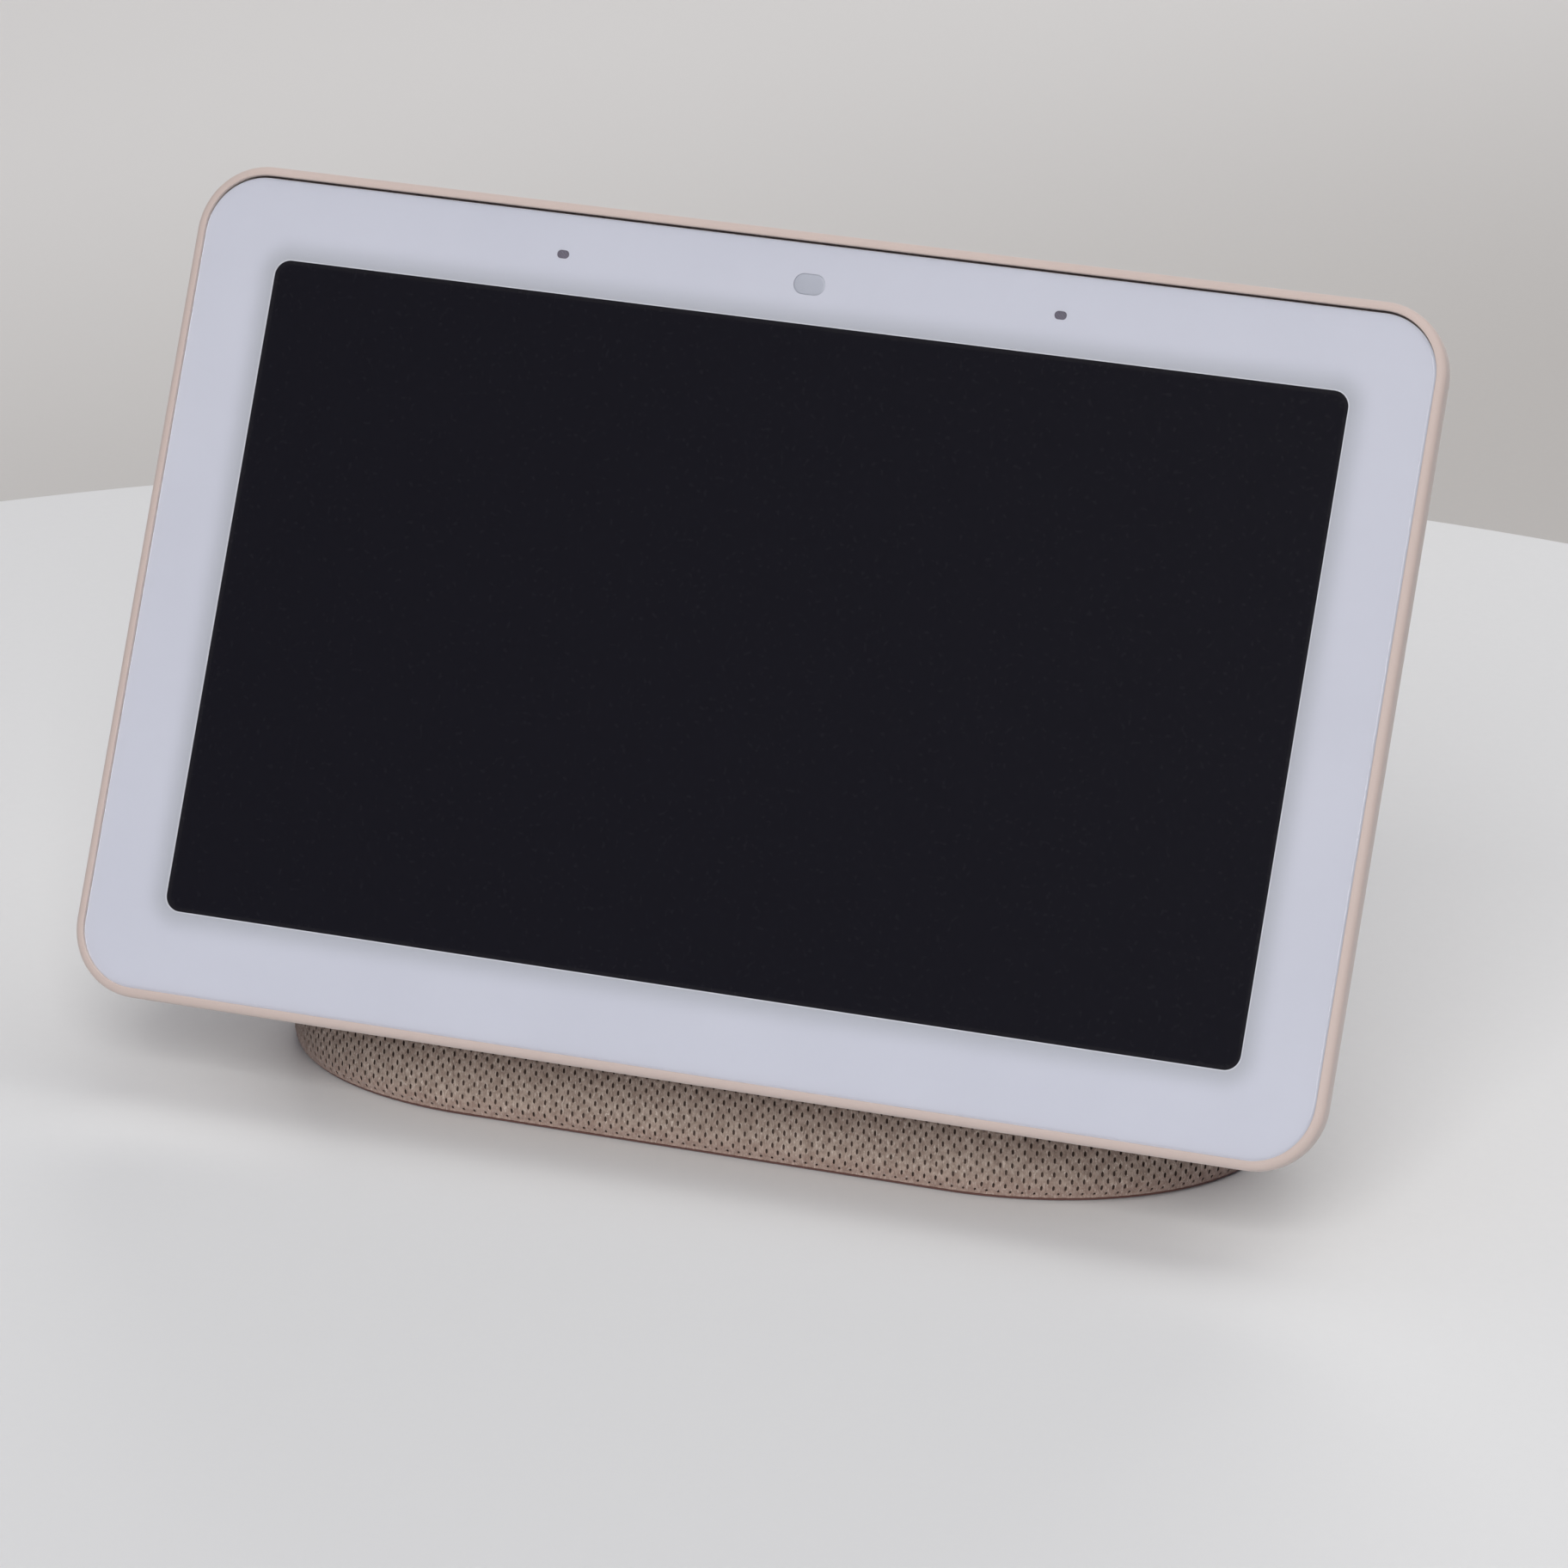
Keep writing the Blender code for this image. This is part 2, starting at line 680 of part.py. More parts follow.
def build_base(frame, looks):
    rings = [base_ring(SLEEVE_BOTTOM, 0.5), base_ring(1.5, 0.15), base_ring(2.6, 0.0)]
    rings += [base_ring(z, 0.0) for z in base_levels(2.6, 9)[1:]]
    sleeve = loft("fabric_sleeve", rings)
    cut(sleeve, slab_envelope("envelope", frame, SEAM))
    cut(sleeve, base_solid("inside", FABRIC_T, -2.0))
    cut(sleeve, jack_cutter(6.35))
    finish(sleeve, looks["fabric"], 50.0)

    shell = base_solid("base_shell", SHELL_INSET, SHELL_BOTTOM)
    cut(shell, slab_envelope("envelope", frame, SEAM))
    hollow = base_solid("hollow", SHELL_INSET + SHELL_WALL, -2.0)
    shape_with(hollow, slab_envelope("envelope", frame, SEAM + SHELL_WALL))
    for x, y in TOWERS:
        tower = prism("tower", circle(3.4, 16, centre=(x, y)), -3.0, 80.0)
        shape_with(hollow, tower)
    cut(shell, hollow)
    for x, y in TOWERS:
        cut(shell, prism("hole", circle(1.2, 12, centre=(x, y)), 0.0, 12.0))
    for k in range(-4, 5):
        slot = rounded_rect(2.0, 28.0, 0.9, 2, (4.0 * k, SPEAKER_Z))
        ends = [[(x, y, z) for x, z in slot] for y in (22.0, 36.0)]
        cut(shell, loft("slot", ends))
    for x, y in BRACKET_SCREWS:
        hole = circle(1.3, 12, centre=(x, y))
        cut(shell, slab_layer("hole", hole, (9.0, 14.0), frame=frame))
    cut(
        shell,
        slab_layer("cable_slot", box_outline(*CABLE_SLOT), (9.0, 14.0), frame=frame),
        jack_cutter(6.35),
    )
    finish(shell, looks["grey_plastic"], 50.0)

    plate = prism("bottom_plate", pill(SHELL_INSET, SHOULDER), *PLATE_Z)
    for x, y in TOWERS:
        cut(
            plate,
            prism("bore", circle(2.7, 16, centre=(x, y)), 0.0, 3.05),
            prism("hole", circle(1.25, 12, centre=(x, y)), 0.0, 5.0),
        )
    finish(plate, looks["grey_plastic"])
    for number, (x, y) in enumerate(TOWERS, 1):
        screw(
            f"base_screw_{number}",
            (x, y, 0.0),
            (0.0, 0.0, 1.0),
            (2.3, 1.8, 2.95),
            (1.0, 2.95, 11.5),
            looks["screw"],
        )

    steps = ((1.0, 0.0), (0.7, 0.25), (0.7, 0.75), (1.8, 0.75), (1.8, FOOT_T))
    rings = [[(x, y, z) for x, y in pill(inset, 1.0)] for inset, z in steps]
    finish(loft("foot_pad", rings), looks["silicone"])

    ballast = rounded_rect(92.0, 31.0, 5.0, 4, (0.0, 0.5))
    finish(prism("ballast_plate", ballast, 4.2, 7.2), looks["steel"])

    bracket = slab_layer(
        "neck_bracket",
        rounded_rect(54.0, 30.0, 4.0, 4, (0.0, -24.0)),
        (12.7, 13.9),
        frame=frame,
    )
    for x, y in BRACKET_SCREWS:
        hole = circle(1.3, 12, centre=(x, y))
        cut(bracket, slab_layer("hole", hole, (11.0, 15.0), frame=frame))
    window = rounded_rect(26.0, 14.0, 3.0, 4, (0.0, -24.0))
    cut(bracket, slab_layer("window", window, (11.0, 15.0), frame=frame))
    finish(bracket, looks["steel"])
    for number, (x, y) in enumerate(BRACKET_SCREWS, 1):
        screw(
            f"bracket_screw_{number}",
            (x, y, -22.0),
            (0.0, 0.0, 1.0),
            (2.1, 6.6, 8.0),
            (0.95, 8.0, 15.2),
            looks["screw"],
            frame,
        )

    top = (-11.0, -13.5)
    path = [(-2.5, -7.4), (-8.4, -7.4), (-10.9, -8.6), top, (-13.2, -16.0)]
    path += [slab_point(18.3, z) for z in (18.0, 7.0)]
    finish(ribbon("base_flex_cable", path, 0.35, -46.0, -37.0, frame=frame), looks["flex"])


def slab_point(y, z):
    """A world (y, z) point as (up, -depth) in the slab's frame."""
    dy = y - SLAB_CENTRE[1]
    dz = z - SLAB_CENTRE[2]
    up = dy * math.sin(TILT) + dz * math.cos(TILT)
    out = -dy * math.cos(TILT) + dz * math.sin(TILT)
    return (up, out)


def jack_cutter(radius):
    profile = [(0.0, 25.0), (radius, 25.0), (radius, 40.0), (0.0, 40.0)]
    return turned("cutter", profile, 24, (JACK_X, 0.0, JACK_Z), (0.0, 1.0, 0.0))


def build_inlet(looks):
    """Barrel jack at the rear: its plug goes in along -Y."""
    centre = (JACK_X, 0.0, JACK_Z)
    rear = (0.0, 1.0, 0.0)
    body = [
        (4.4, 21.0),
        (4.4, 32.3),
        (4.1, 32.6),
        (JACK_BORE + 0.3, 32.6),
        (JACK_BORE, 32.2),
        (JACK_BORE, 23.5),
        (1.2, 23.5),
        (1.2, 21.0),
    ]
    finish(turned("dc_jack_body", body, 24, centre, rear), looks["black_plastic"])
    pin = [(0.0, 20.6), (0.95, 20.6), (0.95, 30.6), (0.5, 31.1), (0.0, 31.1)]
    finish(turned("dc_jack_pin", pin, 12, centre, rear), looks["nickel"])
    ring = [(4.6, 28.9), (6.2, 28.9), (6.2, 33.2), (5.9, 33.5), (4.9, 33.5), (4.6, 33.2)]
    finish(turned("jack_bezel", ring, 28, centre, rear), looks["grey_plastic"])
    outline = box_outline(-50.0, -33.0, 5.2, 17.4)
    ends = [[(x, y, z) for x, z in outline] for y in (19.2, 20.4)]
    finish(loft("jack_board", ends), looks["board"])


def build_speaker(looks):
    """A sealed box with a full range driver in its rear face."""
    centre = (0.0, 0.0, SPEAKER_Z)
    rear = (0.0, 1.0, 0.0)
    ends = [[(x, y, z) for y, z in BOX_SECTION] for x in (-BOX_HALF_W, BOX_HALF_W)]
    box = loft("speaker_box", ends)
    ends = [[(x, y, z) for y, z in BOX_HOLLOW] for x in (2 - BOX_HALF_W, BOX_HALF_W - 2)]
    cut(
        box,
        loft("hollow", ends),
        turned("mouth", [(0.0, 10.0), (16.6, 10.0), (16.6, 20.0), (0.0, 20.0)], 24, centre, rear),
    )
    for side in (-1, 1):
        hole = [(0.0, 13.0), (0.85, 13.0), (0.85, 20.0), (0.0, 20.0)]
        cut(box, turned("hole", hole, 12, (side * 22.0, 0.0, SPEAKER_Z), rear))
    finish(box, looks["black_plastic"])

    section = [
        (19.5, 18.2),
        (15.4, 18.2),
        (15.4, 16.9),
        (10.9, 7.8),
        (6.9, 7.8),
        (6.9, 6.6),
        (11.8, 6.6),
        (16.2, 16.7),
        (19.5, 16.7),
    ]
    basket = turned("speaker_basket", section, 24, centre, rear)
    for side in (-1, 1):
        near, far = sorted((side * 19.0, side * 25.0))
        ear = rounded_rect(far - near, 8.0, 2.0, 3, ((near + far) / 2, SPEAKER_Z))
        ends = [[(x, y, z) for x, z in ear] for y in (16.75, 18.15)]
        join(basket, loft("ear", ends))
        hole = [(0.0, 15.0), (1.1, 15.0), (1.1, 20.0), (0.0, 20.0)]
        cut(basket, turned("hole", hole, 12, (side * 22.0, 0.0, SPEAKER_Z), rear))
    finish(basket, looks["grey_plastic"])
    for number, side in enumerate((-1, 1), 1):
        screw(
            f"speaker_screw_{number}",
            (side * 22.0, 22.0, SPEAKER_Z),
            (0.0, -1.0, 0.0),
            (1.8, 2.6, 3.75),
            (0.75, 3.75, 8.6),
            looks["screw"],
        )

    section = [
        (0.0, 6.5),
        (4.3, 6.5),
        (4.3, 2.0),
        (5.7, 2.0),
        (5.7, 6.5),
        (11.0, 6.5),
        (11.0, 0.3),
        (0.0, 0.3),
    ]
    finish(turned("speaker_magnet", section, 24, centre, rear), looks["magnet"])
    section = [
        (18.6, 18.3),
        (18.6, 18.8),
        (16.2, 18.8),
        (15.3, 19.9),
        (13.5, 19.9),
        (12.6, 18.3),
        (13.7, 19.4),
        (15.0, 19.4),
        (15.8, 18.3),
    ]
    finish(turned("speaker_surround", section, 24, centre, rear), looks["rubber"])

    section = [
        (0.0, 14.6),
        (2.8, 14.2),
        (4.9, 13.2),
        (5.6, 13.1),
        (12.3, 18.1),
        (12.3, 17.4),
        (5.4, 12.35),
        (4.5, 12.35),
        (2.8, 13.5),
        (0.0, 13.9),
    ]
    cone = turned("speaker_cone", section, 24, centre, rear, origin=(0.0, 13.0, SPEAKER_Z))
    finish(cone, looks["cone"])
    tube = [(4.7, 3.2), (5.2, 3.2), (5.2, 12.25), (4.7, 12.25)]
    coil = turned("voice_coil", tube, 20, centre, rear, origin=(0.0, 13.0, SPEAKER_Z))
    finish(coil, looks["copper"])


# ---------------------------------------------------------------- assembly

for old in list(bpy.data.objects):
    bpy.data.objects.remove(old, do_unlink=True)

LOOKS = {
    "glass": paint("cover_glass_clear", (0.92, 0.93, 0.95), 0.04, transmission=1.0),
    "bezel": paint("bezel_white_ink", (0.56, 0.57, 0.63), 0.25),
    "sensor": paint("sensor_grey_ink", (0.38, 0.4, 0.44), 0.3),
    "lcd": paint("lcd_black", (0.010, 0.010, 0.014), 0.12),
    "housing": paint("sand_soft_touch", (0.58, 0.47, 0.42), 0.5),
    "control": paint("sand_button", (0.56, 0.45, 0.40), 0.45),
    "fabric": paint("taupe_mesh_fabric", (0.24, 0.185, 0.15), 0.92),
    "silicone": paint("terracotta_silicone", (0.27, 0.10, 0.075), 0.8),
    "grey_plastic": paint("grey_plastic", (0.33, 0.30, 0.28), 0.55),
    "black_plastic": paint("black_plastic", (0.03, 0.03, 0.03), 0.5),
    "white_plastic": paint("white_plastic", (0.7, 0.7, 0.68), 0.45),
    "frame": paint("mid_frame_magnesium", (0.45, 0.45, 0.46), 0.45, metallic=0.9),
    "steel": paint("zinc_plated_steel", (0.5, 0.5, 0.51), 0.35, metallic=1.0),
    "tin": paint("tinned_steel", (0.62, 0.61, 0.58), 0.3, metallic=1.0),
    "aluminium": paint("aluminium_sheet", (0.72, 0.73, 0.74), 0.3, metallic=1.0),
    "screw": paint("screw_steel", (0.28, 0.28, 0.3), 0.35, metallic=1.0),
    "nickel": paint("nickel_plate", (0.66, 0.62, 0.55), 0.25, metallic=1.0),
    "copper": paint("copper_foil", (0.72, 0.35, 0.18), 0.35, metallic=1.0),
    "board": paint("board_green", (0.02, 0.11, 0.05), 0.45),
    "flex": paint("polyimide_flex", (0.35, 0.16, 0.03), 0.4),
    "magnet": paint("ferrite_magnet", (0.07, 0.07, 0.075), 0.5, metallic=0.6),
    "rubber": paint("black_rubber", (0.02, 0.02, 0.02), 0.8),
    "foam": paint("grey_foam", (0.09, 0.09, 0.09), 0.95),
    "cone": paint("paper_cone", (0.05, 0.05, 0.052), 0.85),
    "tape": paint("black_foam_tape", (0.03, 0.03, 0.03), 0.9),
    "clear": paint("clear_light_guide", (0.85, 0.87, 0.88), 0.1, transmission=0.8),
    "orange": paint("orange_film", (0.85, 0.22, 0.03), 0.4),
}

HALF_UP = SLAB_H / 2
SLAB_CENTRE = (
    0.0,
    -OVERALL_DEPTH / 2 - EDGE_LOSS + HALF_UP * math.sin(TILT),
    OVERALL_HEIGHT + EDGE_LOSS - HALF_UP * math.cos(TILT),
)
slab_frame = bpy.data.objects.new("slab_frame", None)
bpy.context.scene.collection.objects.link(slab_frame)
slab_frame.matrix_world = Matrix.Translation(Vector(SLAB_CENTRE) * MM) @ Matrix.Rotation(
    math.pi / 2 - TILT, 4, "X"
)

build_display(slab_frame, LOOKS)
build_controls(slab_frame, LOOKS)
build_base(slab_frame, LOOKS)
build_inlet(LOOKS)
build_speaker(LOOKS)
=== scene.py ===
import json
import math

import bmesh
import bpy
import numpy as np
from mathutils import Matrix, Vector
from mathutils.geometry import delaunay_2d_cdt


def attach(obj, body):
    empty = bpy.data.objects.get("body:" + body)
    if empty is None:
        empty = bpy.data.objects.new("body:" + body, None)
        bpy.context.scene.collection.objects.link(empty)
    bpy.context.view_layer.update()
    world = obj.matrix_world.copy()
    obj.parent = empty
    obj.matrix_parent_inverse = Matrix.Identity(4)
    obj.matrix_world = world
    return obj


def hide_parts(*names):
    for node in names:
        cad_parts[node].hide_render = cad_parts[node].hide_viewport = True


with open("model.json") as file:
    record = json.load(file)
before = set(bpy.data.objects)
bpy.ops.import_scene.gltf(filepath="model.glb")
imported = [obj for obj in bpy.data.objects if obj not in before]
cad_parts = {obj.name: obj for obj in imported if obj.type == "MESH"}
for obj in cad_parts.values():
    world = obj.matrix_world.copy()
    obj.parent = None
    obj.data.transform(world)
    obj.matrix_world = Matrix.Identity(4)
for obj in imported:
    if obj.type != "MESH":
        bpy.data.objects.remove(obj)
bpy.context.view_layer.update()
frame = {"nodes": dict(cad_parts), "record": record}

# Lengths are in millimetres until MM turns them into Blender's metres.
MM = 0.001
ROOT = "display_and_base"

# The slab's frame, as in the CAD: X across, Y up the glass, Z out of the glass.
TILT = math.radians(25.0)
S, C = math.sin(TILT), math.cos(TILT)
SLAB_W, SLAB_H, SLAB_T, SLAB_CORNER = 178.5, 114.9, 10.0, 9.6
TOTAL_H, HALF_DEPTH = 118.0, 33.65
RIM_ROUND = 0.17  # the rounded front edge stops this short of its sharp corner
FOOT_Y = -HALF_DEPTH - RIM_ROUND
FOOT_Z = TOTAL_H + RIM_ROUND - SLAB_H * C
CENTRE = (0.0, FOOT_Y + SLAB_H / 2 * S, FOOT_Z + SLAB_H / 2 * C)
SLAB = Matrix.Translation(Vector(CENTRE) * MM) @ Matrix(
    ((1, 0, 0, 0), (0, S, -C, 0), (0, C, S, 0), (0, 0, 0, 1))
)
GLASS_W, GLASS_H, GLASS_CORNER = 175.9, 112.3, 8.2
GLASS_MIDDLE = (0.0, -0.15)  # a little low, so the dark gap shows along the top only
PRINT_NEAR, PRINT_FAR = 0.62, 0.72  # depth of the printed mask below the rim's front
WINDOW_W, WINDOW_H, WINDOW_CORNER = 153.6, 90.0, 2.2
SENSOR_ROW = WINDOW_H / 2 + 5.4
MIC_X, MIC_SLOT = 35.6, (1.75, 1.15)
SENSOR_PILL = (4.5, 2.85)
ROCKER = (76.0, 25.0, 4.4, 28.0)  # centre x and y, width, length
MUTE = (0.0, 44.0, 9.0, 3.6)  # slot's centre x and y, knob's width and height
MUTE_TRAVEL = 2.5
KEY_GAP = 0.6
CABLE_SLOT = (-47.0, -36.0, -12.6, -9.2)  # lowest and highest x, then y
JACK_X, JACK_Z = -40.0, 11.0

# The CAD housing's edge runs in from this depth, over this run, by this much. The sleeve
# is trimmed to that; the visual housing starts to run in a little earlier.
BACK_START, BACK_RUN, BACK_INSET = 2.5, 7.5, 9.0


# ------------------------------------------------------------ materials

def tree_of(name):
    made = bpy.data.materials.new(name)
    made.use_nodes = True
    tree = made.node_tree
    tree.nodes.clear()
    return made, tree


def add(tree, kind, inputs=None, **settings):
    node = tree.nodes.new(kind)
    for key, value in settings.items():
        setattr(node, key, value)
    for key, value in (inputs or {}).items():
        if isinstance(value, bpy.types.NodeSocket):
            tree.links.new(value, node.inputs[key])
        else:
            node.inputs[key].default_value = value
    return node


def math_node(tree, operation, *values, clamp=False):
    node = add(tree, "ShaderNodeMath", operation=operation, use_clamp=clamp)
    for socket, value in zip(node.inputs, values):
        if isinstance(value, bpy.types.NodeSocket):
            tree.links.new(value, socket)
        else:
            socket.default_value = value
    return node.outputs[0]


def spread(tree, value, low, high, out_low=0.0, out_high=1.0):
    inputs = {
        "Value": value,
        "From Min": low,
        "From Max": high,
        "To Min": out_low,
        "To Max": out_high,
    }
    node = add(tree, "ShaderNodeMapRange", inputs, interpolation_type="SMOOTHSTEP")
    return node.outputs["Result"]


def blend_colour(tree, factor, first, second):
    node = add(tree, "ShaderNodeMix", data_type="RGBA")
    for key, value in (("Factor", factor), ("A", first), ("B", second)):
        socket = [s for s in node.inputs if s.name == key and s.enabled][0]
        if isinstance(value, bpy.types.NodeSocket):
            tree.links.new(value, socket)
        else:
            socket.default_value = value if key == "Factor" else (*value[:3], 1.0)
    return [s for s in node.outputs if s.enabled][0]


def noise(tree, vector, scale, detail=3.0, roughness=0.55):
    inputs = {"Vector": vector, "Scale": scale, "Detail": detail, "Roughness": roughness}
    return add(tree, "ShaderNodeTexNoise", inputs).outputs["Fac"]


def place(tree, scale=None, rotation=(0.0, 0.0, 0.0)):
    """Object coordinates, which are world metres for a CAD node."""
    out = add(tree, "ShaderNodeTexCoord").outputs["Object"]
    if scale is None:
        return out
    inputs = {"Vector": out, "Scale": scale, "Rotation": rotation}
    return add(tree, "ShaderNodeMapping", inputs).outputs["Vector"]


def shade(tree, colour, roughness, normal=None, **fixed):
    shader = add(tree, "ShaderNodeBsdfPrincipled")
    inputs = {"Base Color": colour, "Roughness": roughness}
    if normal is not None:
        inputs["Normal"] = normal
    for key, value in {**inputs, **fixed}.items():
        socket = shader.inputs[key]
        if isinstance(value, bpy.types.NodeSocket):
            tree.links.new(value, socket)
        elif key == "Base Color":
            socket.default_value = (*value[:3], 1.0)
        else:
            socket.default_value = value
    out = add(tree, "ShaderNodeOutputMaterial")
    tree.links.new(shader.outputs[0], out.inputs["Surface"])
    return shader


def bump(tree, height, distance, strength=1.0):
    inputs = {"Height": height, "Distance": distance, "Strength": strength}
    return add(tree, "ShaderNodeBump", inputs).outputs["Normal"]


def tint(colour, factor):
    return tuple(min(c * factor, 1.0) for c in colour[:3])


def surface(
    name, colour, rough, grain=(2600.0, 0.00002), mottle=(90.0, 0.06), stretch=None, **fixed
):
    """A moulded, cast or brushed finish: mottled colour, uneven gloss and a fine grain."""
    made, tree = tree_of(name)
    at = place(tree)
    patches = noise(tree, at, mottle[0])
    fine_at = at if stretch is None else place(tree, stretch)
    fine = noise(tree, fine_at, grain[0], 4.0, 0.6)
    dark, pale = tint(colour, 1 - mottle[1]), tint(colour, 1 + mottle[1])
    mixed = blend_colour(tree, spread(tree, patches, 0.3, 0.7), dark, pale)
    gloss = spread(tree, fine, 0.3, 0.7, max(rough - 0.06, 0.03), min(rough + 0.06, 1.0))
    shade(tree, mixed, gloss, bump(tree, fine, grain[1]), **fixed)
    return made


def from_window(tree, half_w, half_h, radius):
    """Distance in metres out from a rounded rectangle centred in the slab's frame."""
    split = add(tree, "ShaderNodeSeparateXYZ", {"Vector": place(tree)})
    sides = []
    for axis, half in (("X", half_w), ("Y", half_h)):
        side = math_node(tree, "ABSOLUTE", split.outputs[axis])
        sides.append(math_node(tree, "SUBTRACT", side, (half - radius) * MM))
    beyond = [math_node(tree, "MAXIMUM", side, 0.0) for side in sides]
    joined = add(tree, "ShaderNodeCombineXYZ", {"X": beyond[0], "Y": beyond[1]})
    length = add(tree, "ShaderNodeVectorMath", {0: joined.outputs[0]}, operation="LENGTH")
    within = math_node(tree, "MINIMUM", math_node(tree, "MAXIMUM", *sides), 0.0)
    total = math_node(tree, "ADD", length.outputs["Value"], within)
    return math_node(tree, "SUBTRACT", total, radius * MM)


def glass_material():
    """Clear glass that mirrors more at a glance, the same from its front and its back."""
    made, tree = tree_of("cover_glass")
    smear = noise(tree, place(tree), 55.0, 5.0, 0.6)
    rough = spread(tree, smear, 0.35, 0.75, 0.03, 0.075)
    gloss = add(tree, "ShaderNodeBsdfGlossy", {"Roughness": rough, "Color": (1, 1, 1, 1)})
    clear = add(tree, "ShaderNodeBsdfTransparent", {"Color": (0.985, 0.988, 0.992, 1)})
    facing = add(tree, "ShaderNodeLayerWeight", {"Blend": 0.5}).outputs["Facing"]
    steep = math_node(tree, "POWER", facing, 5.0)
    mirror = math_node(tree, "MULTIPLY_ADD", steep, 0.6, 0.022)
    mixed = add(tree, "ShaderNodeMixShader")
    tree.links.new(mirror, mixed.inputs[0])
    tree.links.new(clear.outputs[0], mixed.inputs[1])
    tree.links.new(gloss.outputs[0], mixed.inputs[2])
    out = add(tree, "ShaderNodeOutputMaterial")
    tree.links.new(mixed.outputs[0], out.inputs["Surface"])
    return made


def bezel_material():
    """White ink behind the glass, with painted shade greying it towards the window and a painted
    highlight as a fine line round it.
    """
    made, tree = tree_of("bezel_ink")
    out = from_window(tree, WINDOW_W / 2, WINDOW_H / 2, WINDOW_CORNER)
    cloud = noise(tree, place(tree), 40.0)
    base = blend_colour(
        tree, spread(tree, cloud, 0.3, 0.7), (0.660, 0.672, 0.752), (0.678, 0.690, 0.770)
    )
    # painted shade: the print turns greyer towards the window
    painted_shade_band = spread(tree, out, -0.0006, 0.0038, 1.0, 0.0)
    colour = blend_colour(tree, painted_shade_band, base, (0.490, 0.505, 0.552))
    # painted highlight: a fine pale line along the window's edge
    line = spread(tree, out, 0.00010, 0.00020, 1.0, 0.0)
    colour = blend_colour(tree, line, colour, (0.70, 0.71, 0.76))
    fine = noise(tree, place(tree), 3000.0)
    shade(tree, colour, spread(tree, fine, 0.3, 0.7, 0.5, 0.6), bump(tree, fine, 0.000004))
    return made


def lcd_material():
    """A dark panel: the unlit picture area with its fine rows, and painted light making it paler in
    a thin strip along the window's edge.
    """
    made, tree = tree_of("lcd")
    painted_glow_width = 0.55
    out = from_window(tree, WINDOW_W / 2 - painted_glow_width, WINDOW_H / 2 - painted_glow_width, WINDOW_CORNER - 0.5)
    at = place(tree)
    rows = add(
        tree,
        "ShaderNodeTexWave",
        {"Vector": at, "Scale": 900.0, "Distortion": 0.4, "Detail": 1.0},
        bands_direction="X",
    ).outputs["Fac"]
    lit = blend_colour(tree, rows, (0.0042, 0.0038, 0.0066), (0.0052, 0.0048, 0.0078))
    # painted light: the panel turns paler just inside the window's edge
    edge = spread(tree, out, -0.0001, 0.0001)
    colour = blend_colour(tree, edge, lit, (0.0112, 0.0104, 0.0128))
    gloss = spread(tree, noise(tree, at, 1500.0), 0.3, 0.7, 0.2, 0.28)
    shade(tree, colour, gloss, **{"Specular IOR Level": 0.12})
    return made


def knit_material():
    """Taupe yarn: fibres along the strand, flecks of lighter and darker yarn, painted highlights
    along the fibres, painted shade between them and a painted reddish reflection from the foot near
    the bottom.
    """
    made, tree = tree_of("mesh_fabric")
    at = place(tree)
    fibre = noise(tree, place(tree, (1.0, 1.0, 0.3)), 3600.0, 5.0, 0.72)
    fleck = noise(tree, at, 900.0, 2.0)
    patches = noise(tree, at, 60.0)
    dark, pale = (0.340, 0.262, 0.215), (0.470, 0.380, 0.320)
    colour = blend_colour(tree, spread(tree, fleck, 0.32, 0.68), dark, pale)
    # painted highlight: pale streaks along the fibres
    painted_fibre_highlight = spread(tree, fibre, 0.53, 0.68, 0.0, 0.8)
    colour = blend_colour(tree, painted_fibre_highlight, colour, (0.78, 0.69, 0.61))
    # painted shade: dark streaks between the fibres
    deep = spread(tree, fibre, 0.32, 0.47, 0.6, 0.0)
    colour = blend_colour(tree, deep, colour, (0.150, 0.105, 0.085))
    worn = spread(tree, patches, 0.35, 0.7, 0.0, 0.15)
    colour = blend_colour(tree, worn, colour, (0.31, 0.225, 0.19))
    # painted reflection: reddish light from the foot on the knit's last few millimetres above the
    # table
    height = add(tree, "ShaderNodeSeparateXYZ", {"Vector": at}).outputs["Z"]
    low = spread(tree, height, 0.0006, 0.0040, 0.28, 0.0)
    colour = blend_colour(tree, low, colour, (0.40, 0.215, 0.185))
    shade(
        tree,
        colour,
        spread(tree, fibre, 0.3, 0.7, 0.78, 0.95),
        bump(tree, fibre, 0.00012),
        **{"Sheen Weight": 0.25, "Sheen Roughness": 0.5, "Specular IOR Level": 0.25},
    )
    return made


def board_material():
    """Solder mask over copper tracks, with plated vias."""
    made, tree = tree_of("circuit_board")
    at = place(tree)
    tracks = add(
        tree,
        "ShaderNodeTexBrick",
        {
            "Vector": place(tree, (1.0, 1.0, 1.0), (0.0, 0.0, 0.78)),
            "Scale": 260.0,
            "Mortar Size": 0.06,
            "Color1": (0.008, 0.075, 0.045, 1),
            "Color2": (0.012, 0.095, 0.055, 1),
            "Mortar": (0.030, 0.150, 0.080, 1),
        },
    ).outputs["Color"]
    cells = add(tree, "ShaderNodeTexVoronoi", {"Vector": at, "Scale": 420.0})
    via = spread(tree, cells.outputs["Distance"], 0.10, 0.16, 1.0, 0.0)
    colour = blend_colour(tree, via, tracks, (0.62, 0.42, 0.16))
    fine = noise(tree, at, 2400.0)
    shade(tree, colour, spread(tree, fine, 0.3, 0.7, 0.32, 0.46), bump(tree, via, 0.00003))
    return made


def brushed(name, colour, rough, stretch=(0.04, 1.0, 1.0), **fixed):
    return surface(
        name, colour, rough, (1800.0, 0.000006), (120.0, 0.05), stretch, Metallic=1.0, **fixed
    )


